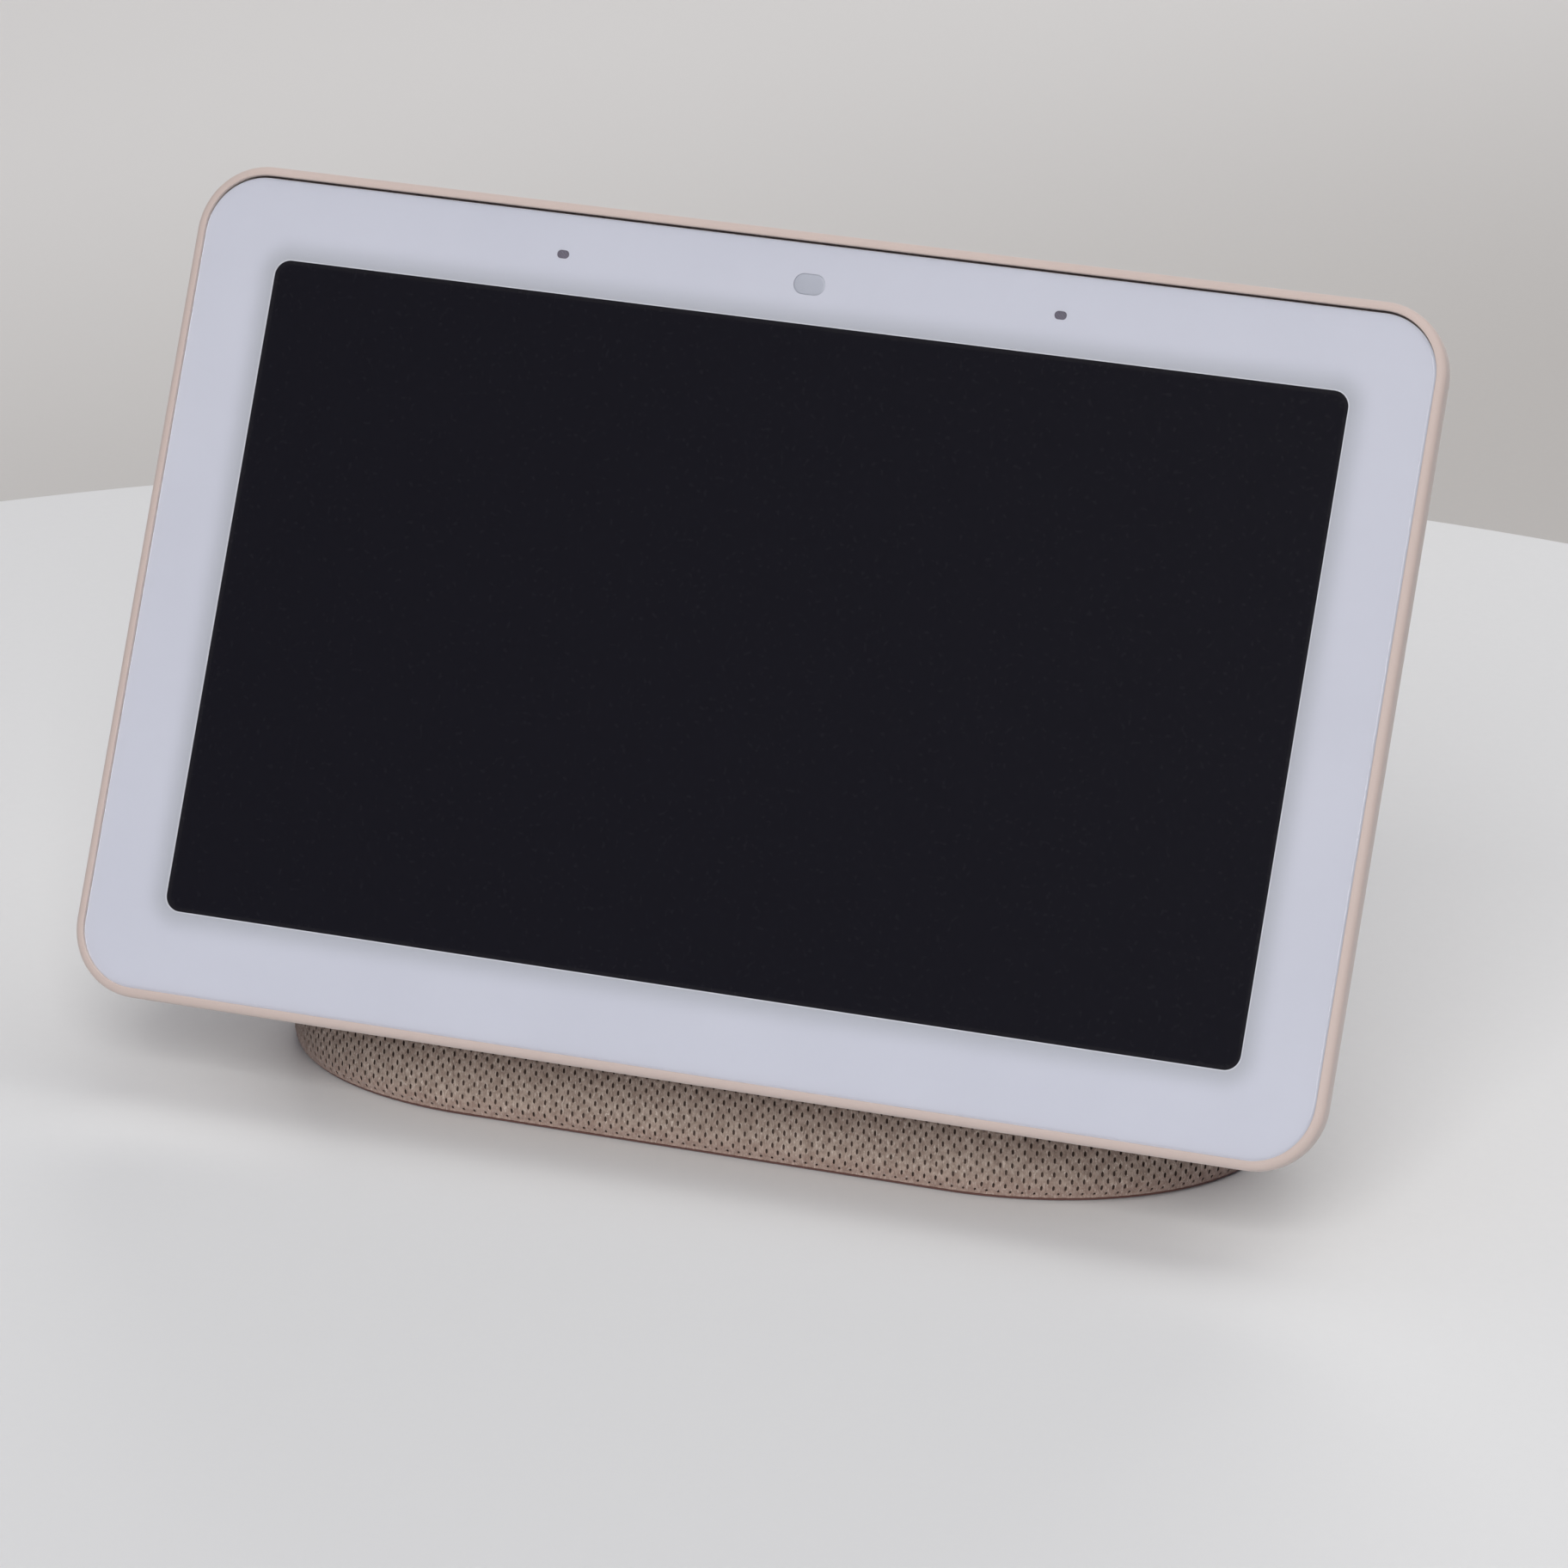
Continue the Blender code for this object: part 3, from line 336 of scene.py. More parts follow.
def weave(name, colour, rough, scale, height):
    """Woven or corrugated sheet such as film, tape or a paper cone."""
    made, tree = tree_of(name)
    at = place(tree)
    waves = add(
        tree,
        "ShaderNodeTexWave",
        {"Vector": at, "Scale": scale, "Distortion": 2.5, "Detail": 2.0, "Detail Scale": 3.0},
        bands_direction="DIAGONAL",
    ).outputs["Fac"]
    fleck = noise(tree, at, scale * 3)
    colour = blend_colour(tree, waves, tint(colour, 0.86), tint(colour, 1.1))
    shade(
        tree,
        colour,
        spread(tree, fleck, 0.3, 0.7, rough - 0.06, min(rough + 0.06, 1.0)),
        bump(tree, waves, height),
    )
    return made


def winding_material():
    """Enamelled copper wire wound round the Y axis."""
    made, tree = tree_of("copper")
    turns = add(
        tree,
        "ShaderNodeTexWave",
        {"Vector": place(tree), "Scale": 850.0, "Distortion": 0.15},
        bands_direction="Y",
    ).outputs["Fac"]
    colour = blend_colour(tree, turns, (0.35, 0.12, 0.05), (0.80, 0.36, 0.17))
    gloss = spread(tree, turns, 0.0, 1.0, 0.42, 0.26)
    shade(tree, colour, gloss, bump(tree, turns, 0.00006), Metallic=1.0)
    return made


HOUSING = (0.610, 0.502, 0.460)
LOOKS = {
    "cover_glass": glass_material(),
    "bezel_ink": bezel_material(),
    "lcd": lcd_material(),
    "mesh_fabric": knit_material(),
    "circuit_board": board_material(),
    "copper": winding_material(),
    "sensor_ink": surface("sensor_ink", (0.50, 0.52, 0.585), 0.4),
    "steel": brushed("steel", (0.56, 0.56, 0.57), 0.36),
    "aluminium": brushed("aluminium", (0.78, 0.79, 0.80), 0.32),
    "tinned_steel": brushed("tinned_steel", (0.70, 0.71, 0.72), 0.28, (1.0, 0.05, 0.05)),
    "nickel": brushed("nickel", (0.72, 0.69, 0.63), 0.18),
    "screw_steel": surface("screw_steel", (0.09, 0.09, 0.10), 0.34, Metallic=1.0),
    "ferrite": surface("ferrite", (0.045, 0.045, 0.05), 0.62, (3200.0, 0.00004), (300.0, 0.15)),
    "foam_tape": surface("foam_tape", (0.018, 0.018, 0.02), 0.85, (4000.0, 0.00005)),
    "mid_frame": surface("mid_frame", (0.030, 0.030, 0.033), 0.5),
    "black_plastic": surface("black_plastic", (0.022, 0.022, 0.024), 0.45, (2200.0, 0.00003)),
    "grey_plastic": surface("grey_plastic", (0.30, 0.27, 0.25), 0.5, (1900.0, 0.00003)),
    "white_plastic": surface("white_plastic", (0.72, 0.72, 0.70), 0.4),
    "surround_rubber": surface("surround_rubber", (0.02, 0.02, 0.022), 0.62, (3000.0, 0.00003)),
    "light_guide": surface("light_guide", (0.78, 0.80, 0.82), 0.12, (900.0, 0.000004)),
    "flex_film": weave("flex_film", (0.52, 0.21, 0.035), 0.35, 420.0, 0.00001),
    "orange_film": weave("orange_film", (0.85, 0.22, 0.03), 0.45, 500.0, 0.00001),
    "paper_cone": weave("paper_cone", (0.035, 0.034, 0.036), 0.8, 380.0, 0.00005),
    "soft_touch_housing": surface(
        "soft_touch_housing", HOUSING, 0.62, (3600.0, 0.000008), (22.0, 0.012),
        **{"Sheen Weight": 0.3, "Sheen Roughness": 0.5, "Specular IOR Level": 0.4},
    ),
    "soft_touch_control": surface(
        "soft_touch_control", tint(HOUSING, 0.95), 0.55, (3600.0, 0.000008), (40.0, 0.015),
        **{"Specular IOR Level": 0.4},
    ),
    # painted shade: the foot's terracotta is darkened to the shade it sits in under the fabric
    "silicone": surface(
        "silicone", (0.150, 0.055, 0.042), 0.72, (2400.0, 0.00002), (80.0, 0.05),
        **{"Sheen Weight": 0.2, "Sheen Roughness": 0.6},
    ),
}


# ------------------------------------------------------------ pieces

def piece(name, verts, faces, slot, replaces=(), body=ROOT, matrix=None, sharp=32.0, material=None):
    """A mesh piece in metres, shaded smooth except at edges sharper than given."""
    mesh = bpy.data.meshes.new(name)
    mesh.from_pydata([tuple(map(float, v)) for v in verts], [], [tuple(map(int, f)) for f in faces])
    mesh.validate()
    obj = bpy.data.objects.new(name, mesh)
    bpy.context.scene.collection.objects.link(obj)
    mesh.materials.append(material or LOOKS[slot])
    if matrix is not None:
        obj.matrix_world = matrix
    smooth(obj, sharp)
    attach(obj, body)
    if replaces:
        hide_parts(*replaces)
    return obj


def smooth(obj, sharp):
    form = bmesh.new()
    form.from_mesh(obj.data)
    bmesh.ops.recalc_face_normals(form, faces=form.faces)
    for face in form.faces:
        face.smooth = True
    limit = math.radians(sharp)
    for edge in form.edges:
        edge.smooth = len(edge.link_faces) != 2 or edge.calc_face_angle(0.0) < limit
    form.to_mesh(obj.data)
    form.free()


def quarter(steps):
    """Angles of a quarter turn in this many steps."""
    return [math.radians(90.0 * k / steps) for k in range(steps + 1)]


def rounded_rect(width, height, radius, steps=16, centre=(0.0, 0.0)):
    points = []
    for sx, sy, start in ((1, 1, 0), (-1, 1, 90), (-1, -1, 180), (1, -1, 270)):
        cx = centre[0] + sx * (width / 2 - radius)
        cy = centre[1] + sy * (height / 2 - radius)
        for k in range(steps + 1):
            angle = math.radians(start + 90.0 * k / steps)
            points.append((cx + radius * math.cos(angle), cy + radius * math.sin(angle)))
    return points


def loft(rings, closed_ends=True):
    """Vertices in metres, and faces, between equal rings of millimetre points."""
    count = len(rings[0])
    verts = [Vector(p) * MM for ring in rings for p in ring]
    faces = []
    for r in range(len(rings) - 1):
        for k in range(count):
            near, far = r * count, (r + 1) * count
            turn = (k + 1) % count
            faces.append((near + k, near + turn, far + turn, far + k))
    if closed_ends:
        faces.append(tuple(range(count))[::-1])
        faces.append(tuple((len(rings) - 1) * count + k for k in range(count)))
    return verts, faces


def slab_rings(steps, width=SLAB_W, height=SLAB_H, corner=SLAB_CORNER, centre=(0.0, 0.0), arcs=16):
    """Rings of a rounded rectangle for (inset, depth) steps, in the slab's frame."""
    rings = []
    for inset, depth in steps:
        outline = rounded_rect(
            width - 2 * inset, height - 2 * inset, max(corner - inset, 0.3), arcs, centre
        )
        rings.append([(x, y, -depth) for x, y in outline])
    return rings


def cut(obj, *cutters):
    """Boolean differences, applied at once."""
    for verts, faces in cutters:
        mesh = bpy.data.meshes.new("cutter")
        mesh.from_pydata(verts, [], faces)
        form = bmesh.new()
        form.from_mesh(mesh)
        bmesh.ops.recalc_face_normals(form, faces=form.faces)
        form.to_mesh(mesh)
        form.free()
        tool = bpy.data.objects.new("cutter", mesh)
        bpy.context.scene.collection.objects.link(tool)
        tool.matrix_world = obj.matrix_world
        step = obj.modifiers.new("cut", "BOOLEAN")
        step.object = tool
        step.solver = "EXACT"
        bpy.context.view_layer.update()
        seen = bpy.context.evaluated_depsgraph_get()
        made = bpy.data.meshes.new_from_object(obj.evaluated_get(seen))
        obj.modifiers.remove(step)
        old = obj.data
        obj.data = made
        bpy.data.meshes.remove(old)
        bpy.data.objects.remove(tool)
        bpy.data.meshes.remove(mesh)


# ------------------------------------------------------------ screen slab

def build_housing():
    steps = [(0.9, 2.4), (0.9, 1.5), (1.25, 1.25), (1.25, 0.16), (1.22, 0.06), (1.14, 0.0)]
    for turn in quarter(10)[1:]:
        steps.append((1.0 - math.sin(turn), 0.95 * (1 - math.cos(turn))))
    side = 1.4
    for turn in quarter(28):
        run = (SLAB_T - side) * math.sin(turn)
        steps.append((BACK_INSET * (1 - math.cos(turn)), side + run))
    outer = slab_rings(steps)
    inner = [(1.7, 2.4), (1.7, 3.0)]
    for turn in quarter(12)[1:]:
        inner.append((1.7 + 7.5 * (1 - math.cos(turn)), 3.0 + 5.5 * math.sin(turn)))
    verts, faces = loft(slab_rings(inner)[::-1] + outer)
    replaced = ["rear_housing"]
    shell = piece(
        "housing_shell", verts, faces, "soft_touch_housing", replaced, matrix=SLAB, sharp=60.0
    )
    cutters = []
    for (x, y, width, height), spare, radius in ((ROCKER, 0.0, 2.5), (MUTE, MUTE_TRAVEL, 2.1)):
        steps = [(0.0, 8.0), (0.0, 9.72), (-0.08, 9.88), (-0.28, 10.0), (-0.6, 10.2)]
        size = (width + spare + KEY_GAP, height + KEY_GAP)
        cutters.append(loft(slab_rings(steps, *size, radius, (x, y), 14)))
    x0, x1, y0, y1 = CABLE_SLOT
    slot = ((x1 - x0), (y1 - y0), 0.8, ((x0 + x1) / 2, (y0 + y1) / 2), 4)
    cutters.append(loft(slab_rings([(0.0, 8.0), (0.0, 11.0)], *slot)))
    cut(shell, *cutters)
    smooth(shell, 34.0)


def build_glass():
    """A sheet with its front edge ground, as (inset, depth) steps from the back."""
    steps = [(0.2, 0.6), (0.06, 0.56), (0.0, 0.48)]
    steps += [(0.3, 0.0), (0.19, 0.02), (0.1, 0.08), (0.035, 0.17), (0.0, 0.28)]
    rings = slab_rings(steps, GLASS_W + 0.06, GLASS_H - 0.24, GLASS_CORNER, GLASS_MIDDLE)
    verts, faces = loft(rings)
    replaced = ["cover_glass"]
    piece("cover_glass_sheet", verts, faces, "cover_glass", replaced, matrix=SLAB, sharp=25.0)


def encloses(outline, point):
    """True where a point is inside an outline, which may be concave."""
    inside = False
    for (ax, ay), (bx, by) in zip(outline, outline[1:] + outline[:1]):
        if (ay > point[1]) != (by > point[1]):
            if point[0] < (bx - ax) * (point[1] - ay) / (by - ay) + ax:
                inside = not inside
    return inside


def flat_with_holes(outline, holes, near, far):
    """A flat plate in the slab's frame with holes, between two depths."""
    points, edges = [], []
    for loop in [outline] + holes:
        first = len(points)
        points += [Vector(p) for p in loop]
        edges += [(first + k, first + (k + 1) % len(loop)) for k in range(len(loop))]
    flat, _, every_face, *_ = delaunay_2d_cdt(points, edges, [], 1, 1e-5)
    faces = []
    for face in every_face:
        middle = sum((flat[k] for k in face), Vector((0, 0))) / len(face)
        if not any(encloses(hole, middle) for hole in holes):
            faces.append(face)
    count = len(flat)
    verts = [Vector((x, y, -d)) * MM for d in (near, far) for x, y in flat]
    made = [tuple(f) for f in faces] + [tuple(count + k for k in f)[::-1] for f in faces]
    used = {}
    for f in faces:
        for a, b in zip(f, list(f[1:]) + [f[0]]):
            used[(a, b)] = used.get((a, b), 0) + 1
    for a, b in used:
        if (b, a) not in used:
            made.append((b, a, count + a, count + b))
    return verts, made


def build_bezel():
    holes = [rounded_rect(WINDOW_W, WINDOW_H, WINDOW_CORNER, 10)]
    for x in (-MIC_X, MIC_X):
        holes.append(rounded_rect(*MIC_SLOT, MIC_SLOT[1] / 2 - 0.01, 8, (x, SENSOR_ROW)))
    holes.append(rounded_rect(*SENSOR_PILL, SENSOR_PILL[1] / 2 - 0.01, 12, (0.0, SENSOR_ROW)))
    outline = rounded_rect(GLASS_W + 0.04, GLASS_H - 0.26, GLASS_CORNER, 20, GLASS_MIDDLE)
    verts, faces = flat_with_holes(outline, holes, PRINT_NEAR, PRINT_FAR)
    piece("bezel_print", verts, faces, "bezel_ink", ["bezel_mask"], matrix=SLAB, sharp=25.0)


def build_membranes():
    """Woven dust covers behind the two microphone slots."""
    steps = [(0.0, 0.95), (0.0, 0.78), (0.1, 0.75)]
    for x, word in ((-MIC_X, "left"), (MIC_X, "right")):
        rings = slab_rings(steps, 3.0, 2.2, 0.9, (x, SENSOR_ROW), 6)
        verts, faces = loft(rings)
        cover = weave(f"mic_weave_{word}", (0.175, 0.160, 0.200), 0.8, 1400.0, 0.00003)
        piece(f"mic_cover_{word}", verts, faces, "foam_tape", matrix=SLAB, material=cover)


def build_sensor():
    """Pale window over the light sensor, crowned a little, just inside its hole in the print."""
    width, height = SENSOR_PILL
    steps = [(0.0, 1.2), (0.0, 0.72), (0.06, 0.68), (0.3, 0.66), (0.8, 0.65)]
    size = (width - 0.05, height - 0.05, height / 2 - 0.04)
    rings = slab_rings(steps, *size, (0.0, SENSOR_ROW), 12)
    verts, faces = loft(rings)
    piece("sensor_pill", verts, faces, "sensor_ink", ["sensor_window"], matrix=SLAB)


def build_lcd():
    """Panel glass with a thin polariser laid on it, a hair smaller all round."""
    width, height, middle = 161.0, 97.5, (0.0, -1.25)
    steps = [(0.1, 2.7), (0.0, 2.6), (0.0, 1.6), (0.08, 1.5)]
    steps += [(1.2, 1.5), (1.2, 0.84), (1.25, 0.8)]
    rings = slab_rings(steps, width, height, 1.0, middle, 4)
    verts, faces = loft(rings)
    piece("lcd_glass", verts, faces, "lcd", ["lcd_panel"], matrix=SLAB, sharp=25.0)


def knob(name, node, outline, edge, deep, dish=0.0):
    """A pill shaped key with a rounded top edge and, if asked, a shallow dish.

    The node that it replaces is also the name of the body that it rides on.
    """
    x, y, width, height = outline
    top = SLAB_T + 0.8
    steps = [(0.0, deep)]
    for turn in quarter(8):
        steps.append((edge * (1 - math.cos(turn)), top - edge * (1 - math.sin(turn))))
    if dish:
        steps += [(edge + 0.25, top), (edge + 0.55, top - dish * 0.6), (edge + 1.0, top - dish)]
    radius = min(width, height) / 2 - 0.01
    verts, faces = loft(slab_rings(steps, width, height, radius, (x, y), 12))
    piece(name, verts, faces, "soft_touch_control", [node], node, SLAB, 28.0)


# ------------------------------------------------------------ base

BASE_STEPS = 180
BASE_HALF_W, BASE_FLAT = 70.0, 35.0
BASE_FRONT, BASE_LEAN = -24.3, 0.12
BASE_CREST = -22.0  # where the rear wall ends at the very top
FABRIC_TOP = 72.6
FABRIC_FOOT = 0.6


def slab_plane_y(z, depth):
    """Where the plane at this depth behind the rim's front is, at height z."""
    up = (z - FOOT_Z + depth * S) / C
    return FOOT_Y + up * S + depth * C


def base_ring(z, inset, steps=BASE_STEPS):
    """The base's outline at height z, from the middle of the rear towards +X and round."""
    rise = max(z - 6.0, 0.0)
    narrow = (1 - (rise / 80.0) ** 2.2) ** (1 / 2.2)
    sweep = math.sqrt(1 - (rise / 76.0) ** 2)
    rear = BASE_CREST + (HALF_DEPTH - BASE_CREST) * sweep - inset
    front = max(BASE_FRONT + BASE_LEAN * z + inset, slab_plane_y(z, 3.0))
    half_w = BASE_HALF_W * narrow - inset
    flat = BASE_FLAT * narrow
    middle, reach = (front + rear) / 2, (rear - front) / 2
    angle = np.radians(90.0 - 180.0 * np.arange(steps + 1) / steps)
    x = flat + (half_w - flat) * np.cos(angle)
    y = middle + reach * np.sin(angle)
    x = np.concatenate([[0.0], x, -x[::-1]])
    y = np.concatenate([[rear], y, y[::-1]])
    return np.stack([x, y], 1)


def bottom_tuck(z):
    """The fabric's last millimetres turn in under the base."""
    return 0.5 * np.clip(1 - (z - FABRIC_FOOT) / 2.0, 0.0, 1.0) ** 2


class Wrap:
    """Puts a flat pattern on the base: columns count round it from the rear, rows go up.

    The column pitch follows the perimeter while the outline is whole, and shrinks only
    a little above, where the outline's front is inside the slab and gets trimmed.
    """

    def __init__(self, columns, aspect, inset):
        self.columns, self.inset = columns, inset
        self.levels = np.linspace(FABRIC_FOOT, FABRIC_TOP, 480)
        self.rings, self.perimeter = [], []
        for z in self.levels:
            ring = base_ring(z, inset + bottom_tuck(z))
            loop = np.vstack([ring, ring[:1]])
            steps = np.linalg.norm(np.diff(loop, axis=0), axis=1)
            along = np.concatenate([[0.0], np.cumsum(steps)])
            self.rings.append((along, loop))
            self.perimeter.append(along[-1])
        self.perimeter = np.array(self.perimeter)
        whole = self.perimeter / columns
        top = 24.0
        at_top = np.interp(top, self.levels, whole)
        climb = (np.maximum(self.levels, top) - top) / (FABRIC_TOP - top)
        eased = at_top * (1 - 0.16 * climb**1.5)
        self.pitch = np.where(self.levels <= top, whole, eased)
        rear = np.array([loop[0][1] for _, loop in self.rings])
        run = np.hypot(np.diff(self.levels), np.diff(rear))
        rows = run / (aspect * (self.pitch[1:] + self.pitch[:-1]) / 2)
        self.row_at = np.concatenate([[0.0], np.cumsum(rows)])
        self.rows = self.row_at[-1]

    def points(self, column, row):
        """World millimetres for arrays of column and row numbers."""
        z = np.interp(row, self.row_at, self.levels)
        pitch = np.interp(z, self.levels, self.pitch)
        perimeter = np.interp(z, self.levels, self.perimeter)
        along = np.clip(column * pitch, -perimeter / 2, perimeter / 2)
        part = np.mod(along / perimeter, 1.0)
        spot = np.interp(z, self.levels, np.arange(len(self.levels)))
        low = np.clip(np.floor(spot).astype(int), 0, len(self.levels) - 2)
        mix = spot - low
        out = np.zeros((len(z), 3))
        out[:, 2] = z
        for level in np.unique(low):
            pick = np.nonzero(low == level)[0]
            for step, weight in ((0, 1 - mix[pick]), (1, mix[pick])):
                along_ring, loop = self.rings[level + step]
                at = part[pick] * along_ring[-1]
                for axis in (0, 1):
                    out[pick, axis] += weight * np.interp(at, along_ring, loop[:, axis])
        return out

    def placed(self, column, row, lift):
        """Points lifted off the surface along its normal, and the normals."""
        here = self.points(column, row)
        side = self.points(column + 0.05, row) - self.points(column - 0.05, row)
        rise = self.points(column, np.minimum(row + 0.05, self.rows)) - self.points(
            column, np.maximum(row - 0.05, 0.0)
        )
        normal = np.cross(rise, side)
        size = np.maximum(np.linalg.norm(normal, axis=1, keepdims=True), 1e-9)
        normal = normal / size
        return here + normal * lift[:, None], normal


def trim_field(points, gap=0.35, jack=6.35):
    """Below zero where the slab or the inlet's bezel takes the fabric's place."""
    x, y, z = points.T
    dy, dz = y - CENTRE[1], z - CENTRE[2]
    up = dy * S + dz * C
    depth = dy * C - dz * S
    bulge = np.clip((depth - BACK_START) / BACK_RUN, 0.0, 1.0)
    inset = BACK_INSET * (1 - np.sqrt(1 - bulge**2))
    half_w, half_h = SLAB_W / 2 - inset, SLAB_H / 2 - inset
    radius = np.maximum(SLAB_CORNER - inset, 0.6)
    qx = np.abs(x) - half_w + radius
    qy = np.abs(up) - half_h + radius
    corner = np.hypot(np.maximum(qx, 0), np.maximum(qy, 0))
    flat = corner + np.minimum(np.maximum(qx, qy), 0)
    slab = np.maximum(flat - radius - gap, depth - SLAB_T - gap)
    inlet = np.where(y > 0, np.hypot(x - JACK_X, z - JACK_Z) - jack, 99.0)
    return np.minimum(slab, inlet)


def trimmed(points, normals, faces, hem, bottom=False):
    """Cuts the pattern at the seams: points just inside slide back to the cut line.

    The cut edge turns in by the hem, and so does the edge along the bottom points.
    """
    field = trim_field(points)
    inside = field < 0
    pairs = set()
    for face in faces:
        for a, b in zip(face, face[1:] + face[:1]):
            if inside[a] != inside[b]:
                pairs.add((a, b) if inside[a] else (b, a))
    pairs = np.array(sorted(pairs))
    low, high = points[pairs[:, 0]].copy(), points[pairs[:, 1]].copy()
    for _ in range(24):
        middle = (low + high) / 2
        deep = trim_field(middle) < 0
        low[deep] = middle[deep]
        high[~deep] = middle[~deep]
    total, count = np.zeros_like(points), np.zeros(len(points))
    np.add.at(total, pairs[:, 0], high)
    np.add.at(count, pairs[:, 0], 1)
    moved = count > 0
    points = points.copy()
    points[moved] = total[moved] / count[moved][:, None]
    kept = []
    for face in faces:
        if not all(inside[k] for k in face) and all(moved[k] or not inside[k] for k in face):
            kept.append(face)
    used = {}
    for face in kept:
        for a, b in zip(face, face[1:] + face[:1]):
            used[(a, b)] = 1
    turns_in = moved | bottom
    rim = [(a, b) for a, b in used if (b, a) not in used and turns_in[a] and turns_in[b]]
    extra, index = [], {}
    for a, b in rim:
        for k in (a, b):
            if k not in index:
                index[k] = len(points) + len(extra)
                extra.append(points[k] - normals[k] * hem)
    kept += [(b, a, index[a], index[b]) for a, b in rim]
    points = np.vstack([points, np.array(extra)])
    live = sorted({k for f in kept for k in f})
    renumber = {k: n for n, k in enumerate(live)}
    return points[live] * MM, [tuple(renumber[k] for k in f) for f in kept]


def build_knit():
    """The sleeve's spacer knit: a staggered lattice of yarn round real oval holes."""
    columns, aspect = 212, 0.595
    wrap = Wrap(columns, aspect, 0.02)
    rows = int(wrap.rows)
    offset = -0.5
    waist = (aspect**2 - 0.25) / (2 * aspect) / aspect
    start = -(columns // 2)

    def middle(i, j):
        return start + i + 0.5 * (j % 2)

    column, row, lift = [], [], []

    def vertex(c, r, height):
        column.append(c)
        row.append(r)
        lift.append(height)
        return len(column) - 1

    corner = {}
    for j in range(rows + 1):
        for i in range(columns):
            x = middle(i, j) + 0.5
            corner["u", i, j] = vertex(x, max(j + offset + waist, 0.0), 0.05)
            corner["d", i, j] = vertex(x, j + offset - waist if j > 1 else 0.0, 0.0)
    faces = []
    half_w, half_h = 0.115, 0.430
    for j in range(1, rows):
        back = 0 if j % 2 else -1
        for i in range(columns):
            left = (i - 1) % columns
            near = (i + back) % columns
            hexagon = [
                corner["u", i, j],
                corner["d", near, j + 1],
                corner["u", left, j],
                corner["d", left, j],
                corner["u", near, j - 1],
                corner["d", i, j],
            ]
            x, y = middle(i, j), j + offset
            tall = half_h if j > 1 else 0.6 * half_h
            hole = []
            for k in range(6):
                turn = math.radians(30.0 + 60.0 * k)
                at = (x + half_w * math.cos(turn), y + tall * math.sin(turn))
                hole.append(vertex(*at, -0.17))
            for k in range(6):
                turn = (k + 1) % 6
                faces.append((hexagon[k], hexagon[turn], hole[turn], hole[k]))
    column, row, lift = np.array(column), np.array(row), np.array(lift)
    column = np.mod(column + columns / 2, columns) - columns / 2
    points, normals = wrap.placed(column, row, lift)
    verts, faces = trimmed(points, normals, faces, 0.9, row < 0.01)
    knit = piece("sleeve_knit", verts, faces, "mesh_fabric", ["fabric_sleeve"], sharp=60.0)


def build_lining():
    """A thin sheet under the knit whose dark colour is painted shade, which is what the holes show.
    """
    columns, aspect = 140, 0.8
    wrap = Wrap(columns, aspect, 0.62)
    rows = int(wrap.rows)
    grid_c, grid_r = np.meshgrid(np.arange(columns) - columns / 2, np.arange(rows + 1))
    column, row = grid_c.ravel().astype(float), grid_r.ravel().astype(float)
    faces = []
    for j in range(rows):
        here, above = j * columns, (j + 1) * columns
        for i in range(columns):
            turn = (i + 1) % columns
            faces.append((here + i, here + turn, above + turn, above + i))
    points, normals = wrap.placed(column, row, np.zeros(len(column)))
    verts, faces = trimmed(points, normals, faces, 0.3)
    # painted shade: the sheet's dark colour stands for the shade inside the holes
    painted_shade_sheet = surface("painted_shade_sheet", (0.130, 0.088, 0.072), 0.9, (2600.0, 0.00004), (300.0, 0.1))
    lining = piece("sleeve_lining", verts, faces, "mesh_fabric", [], sharp=40.0, material=painted_shade_sheet)


def build_foot():
    steps = [(1.25, 0.0), (1.02, 0.05), (0.84, 0.16), (0.75, 0.28), (0.74, 0.42), (0.80, 0.54)]
    steps += [(1.8, 0.54), (1.8, 1.6)]
    rings = []
    for inset, z in steps:
        rings.append([(x, y, z) for x, y in base_ring(1.0, inset, 60)[1:]])
    verts, faces = loft(rings)
    piece("foot_ring", verts, faces, "silicone", ["foot_pad"], sharp=50.0)


def turned(profile, centre, steps=72):
    """Lathes (radius, y) round an axis along Y; the profile closes on itself."""
    rings = []
    for radius, y in profile:
        ring = []
        for k in range(steps):
            turn = 2 * math.pi * k / steps
            x, z = radius * math.cos(turn), radius * math.sin(turn)
            ring.append((centre[0] + x, y, centre[1] + z))
        rings.append(ring)
    verts, faces = loft(rings + [rings[0]], closed_ends=False)
    count = len(rings) * steps
    faces = [tuple(k % count for k in f) for f in faces]
    return verts[:count], faces


def build_jack():
    ring = [(4.6, 28.9), (6.2, 28.9), (6.2, 33.2), (6.13, 33.36), (5.98, 33.47), (5.8, 33.5)]
    ring += [(5.1, 33.5), (4.85, 33.44), (4.68, 33.3), (4.6, 33.1)]
    verts, faces = turned(ring, (JACK_X, JACK_Z))
    piece("inlet_bezel", verts, faces, "grey_plastic", ["jack_bezel"], sharp=40.0)


build_housing()
build_glass()
build_bezel()
build_membranes()
build_sensor()
build_lcd()
knob("rocker_key", "volume_rocker", ROCKER, 0.45, 8.6)
knob("mute_knob", "mute_slider", (MUTE[0] - MUTE_TRAVEL / 2, *MUTE[1:]), 0.35, 8.0, 0.12)
build_knit()
build_lining()
build_foot()
build_jack()

record_slot = {s["node"]: s["material_slot"] for s in frame["record"]["subparts"]}
for node, obj in frame["nodes"].items():
    obj.data.materials.clear()
    obj.data.materials.append(LOOKS[record_slot[node]])


# ------------------------------------------------------------ stage

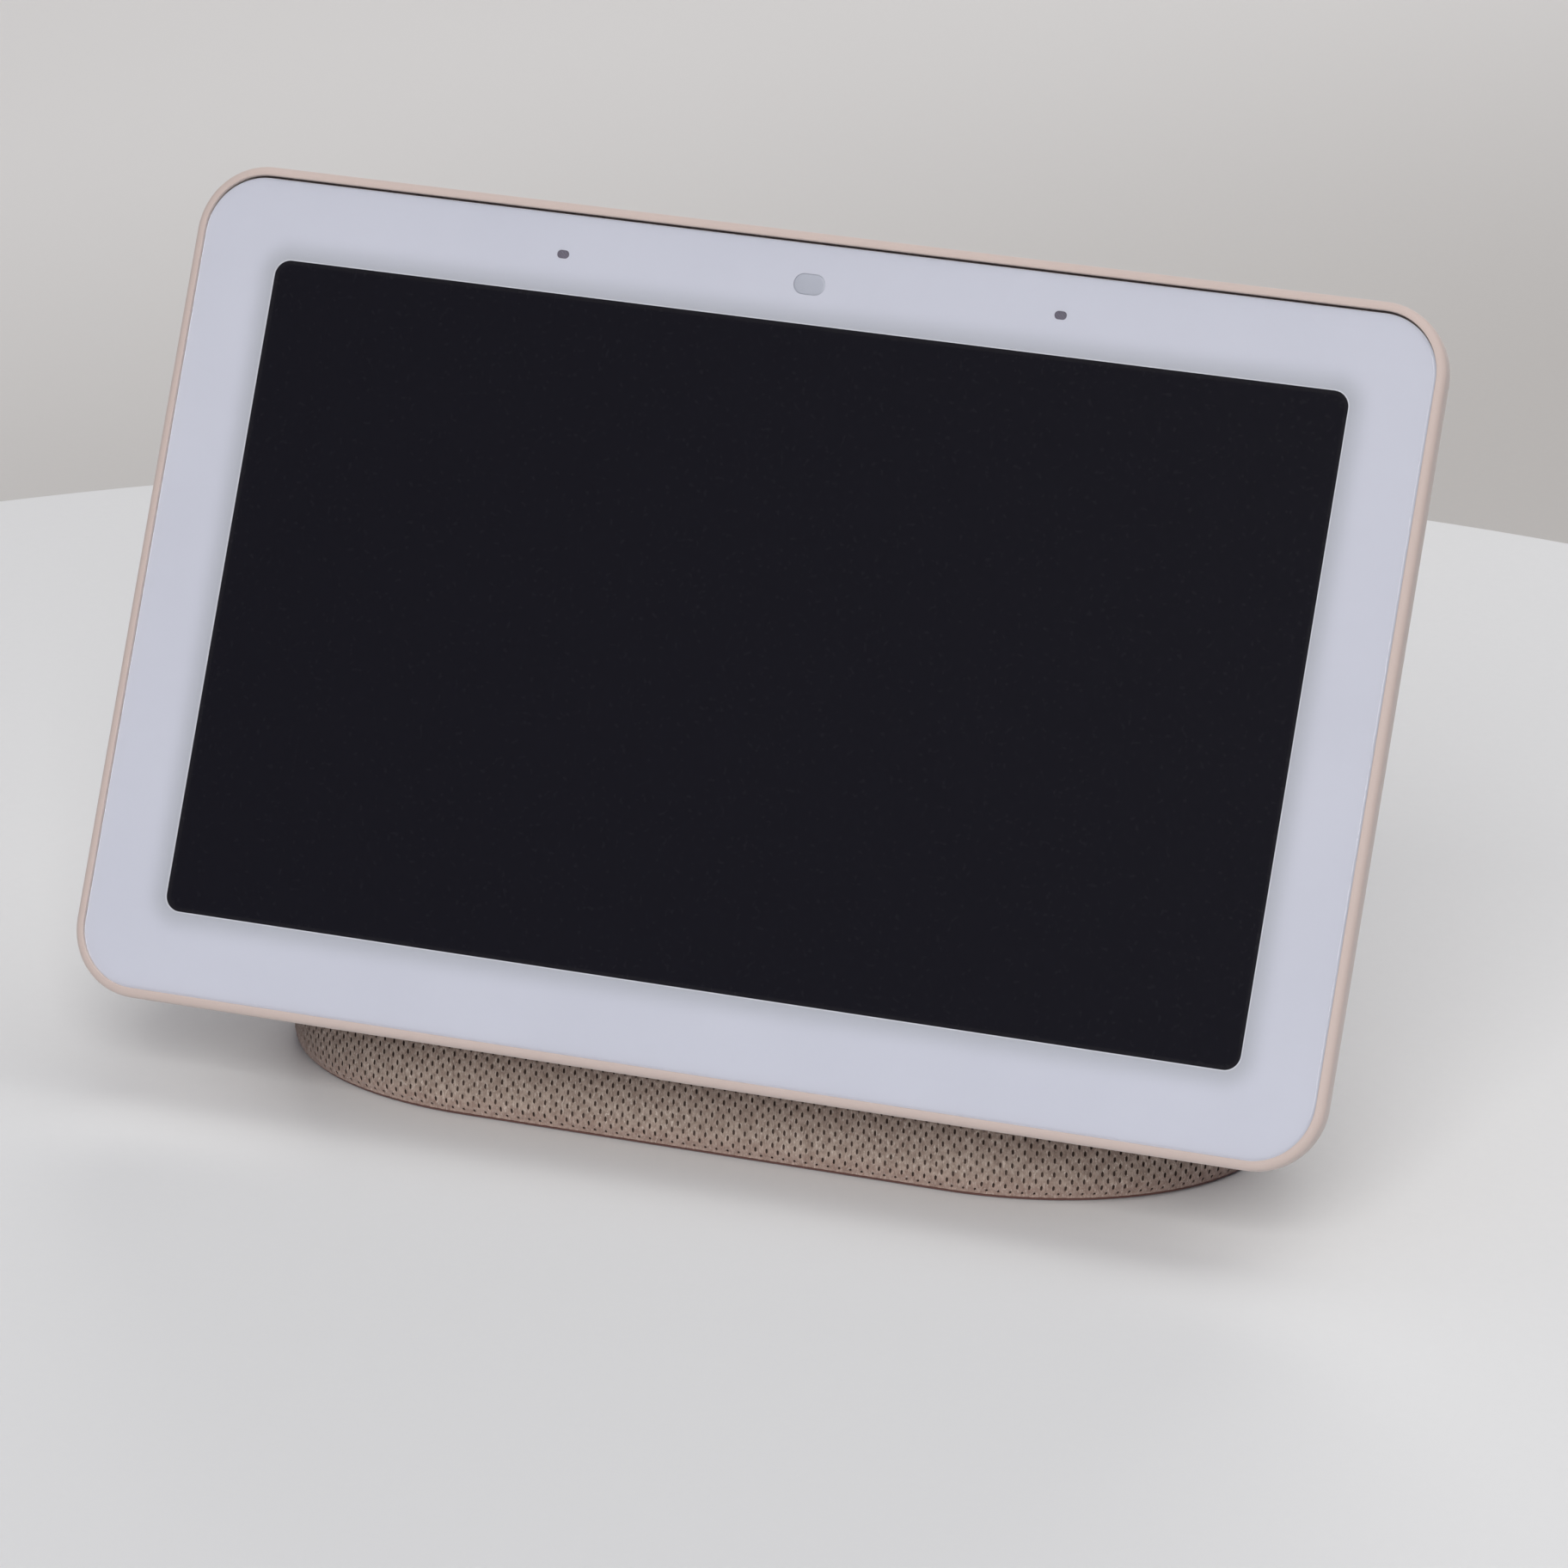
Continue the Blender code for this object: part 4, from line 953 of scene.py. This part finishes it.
def backdrop_material():
    """Paper backdrop with painted shade: darker near the table and greyer towards the right, as the
    table's shadow, and paler further back.
    """
    made, tree = tree_of("backdrop_paper")
    at = place(tree)
    floor = add(tree, "ShaderNodeSeparateXYZ", {"Vector": at}).outputs
    away = math_node(tree, "MULTIPLY_ADD", floor["X"], -1.6, floor["Y"])
    cloud = noise(tree, at, 3.0)
    # painted shade: darker close to the table's edge and towards the right
    near = blend_colour(tree, cloud, (0.515, 0.500, 0.481), (0.537, 0.521, 0.502))
    far = blend_colour(tree, cloud, (0.733, 0.726, 0.712), (0.756, 0.748, 0.735))
    colour = blend_colour(tree, spread(tree, away, 0.74, 1.54), near, far)
    fine = noise(tree, at, 700.0)
    shade(tree, colour, spread(tree, fine, 0.3, 0.7, 0.8, 0.9), bump(tree, fine, 0.00001))
    return made


def stage_piece(name, verts, faces, material):
    mesh = bpy.data.meshes.new(name)
    mesh.from_pydata([tuple(v) for v in verts], [], faces)
    obj = bpy.data.objects.new(name, mesh)
    bpy.context.scene.collection.objects.link(obj)
    mesh.materials.append(material)
    smooth(obj, 30.0)


def build_stage():
    """A round white table with a soft edge, above a wide paper backdrop."""
    radius, soft, thick = 278.0, 3.0, 16.0
    disc = []
    for turn in quarter(6):
        disc.append((radius - soft * (1 - math.sin(turn)), -soft * (1 - math.cos(turn))))
    disc.append((radius, -thick))
    rings = []
    for r, z in disc[::-1]:
        ring = []
        for k in range(240):
            turn = 2 * math.pi * k / 240
            ring.append((-13.0 + r * math.cos(turn), 8.0 + r * math.sin(turn), z))
        rings.append(ring)
    white = surface("table_white", (0.760, 0.770, 0.775), 0.6, (700.0, 0.00001), (3.0, 0.012))
    stage_piece("turntable", *loft(rings), white)
    reach, low = 6, -0.1
    corners = [(x * reach, y * reach, low) for x, y in ((-1, -1), (1, -1), (1, 1), (-1, 1))]
    stage_piece("floor", corners, [(0, 1, 2, 3)], backdrop_material())


def light(name, size, at, aim, power, colour):
    lamp = bpy.data.lights.new(name, "AREA")
    lamp.shape = "RECTANGLE"
    lamp.size, lamp.size_y = size
    lamp.energy = power
    lamp.color = colour
    obj = bpy.data.objects.new(name, lamp)
    bpy.context.scene.collection.objects.link(obj)
    obj.location = at
    obj.rotation_euler = (Vector(aim) - Vector(at)).to_track_quat("-Z", "Y").to_euler()


def build_light():
    world = bpy.data.worlds.new("studio")
    world.use_nodes = True
    back = world.node_tree.nodes["Background"]
    back.inputs["Color"].default_value = (0.112, 0.109, 0.140, 1.0)
    back.inputs["Strength"].default_value = 1.0
    bpy.context.scene.world = world
    warm = (1.0, 0.985, 0.95)
    light("overhead", (2.4, 2.4), (0.45, 0.5, 2.2), (0.0, 0.0, 0.0), 21.0, warm)
    light("front", (2.1, 1.8), (0.8, -3.1, 2.3), (0.0, 0.0, 0.06), 94.0, (1.0, 0.99, 0.97))
    light("front_high", (2.0, 0.9), (0.0, -1.3, 2.3), (0.0, 0.0, 0.05), 4.5, warm)
    light("left_side", (1.3, 1.3), (-2.3, 0.0, 1.4), (0.0, 0.0, 0.05), 2.0, warm)
    light("right_side", (1.3, 1.3), (1.4, 0.7, 2.1), (0.0, 0.0, 0.05), 4.0, warm)
    light("backdrop", (1.8, 0.6), (-0.5, 2.4, 1.2), (-0.4, 1.6, -0.1), 15.0, warm)


def build_camera():
    lens = bpy.data.cameras.new("camera")
    lens.sensor_width, lens.lens = 36.0, 210.641  # fitted to the photo, as are place and turn
    lens.clip_start, lens.clip_end = 0.01, 50.0
    obj = bpy.data.objects.new("camera", lens)
    bpy.context.scene.collection.objects.link(obj)
    obj.location = (0.423109, -1.085339, 0.454032)
    obj.rotation_euler = tuple(math.radians(a) for a in (70.6464, -0.766, 21.468))
    bpy.context.scene.camera = obj


build_stage()
build_light()
build_camera()
bpy.context.scene.view_settings.view_transform = "Standard"
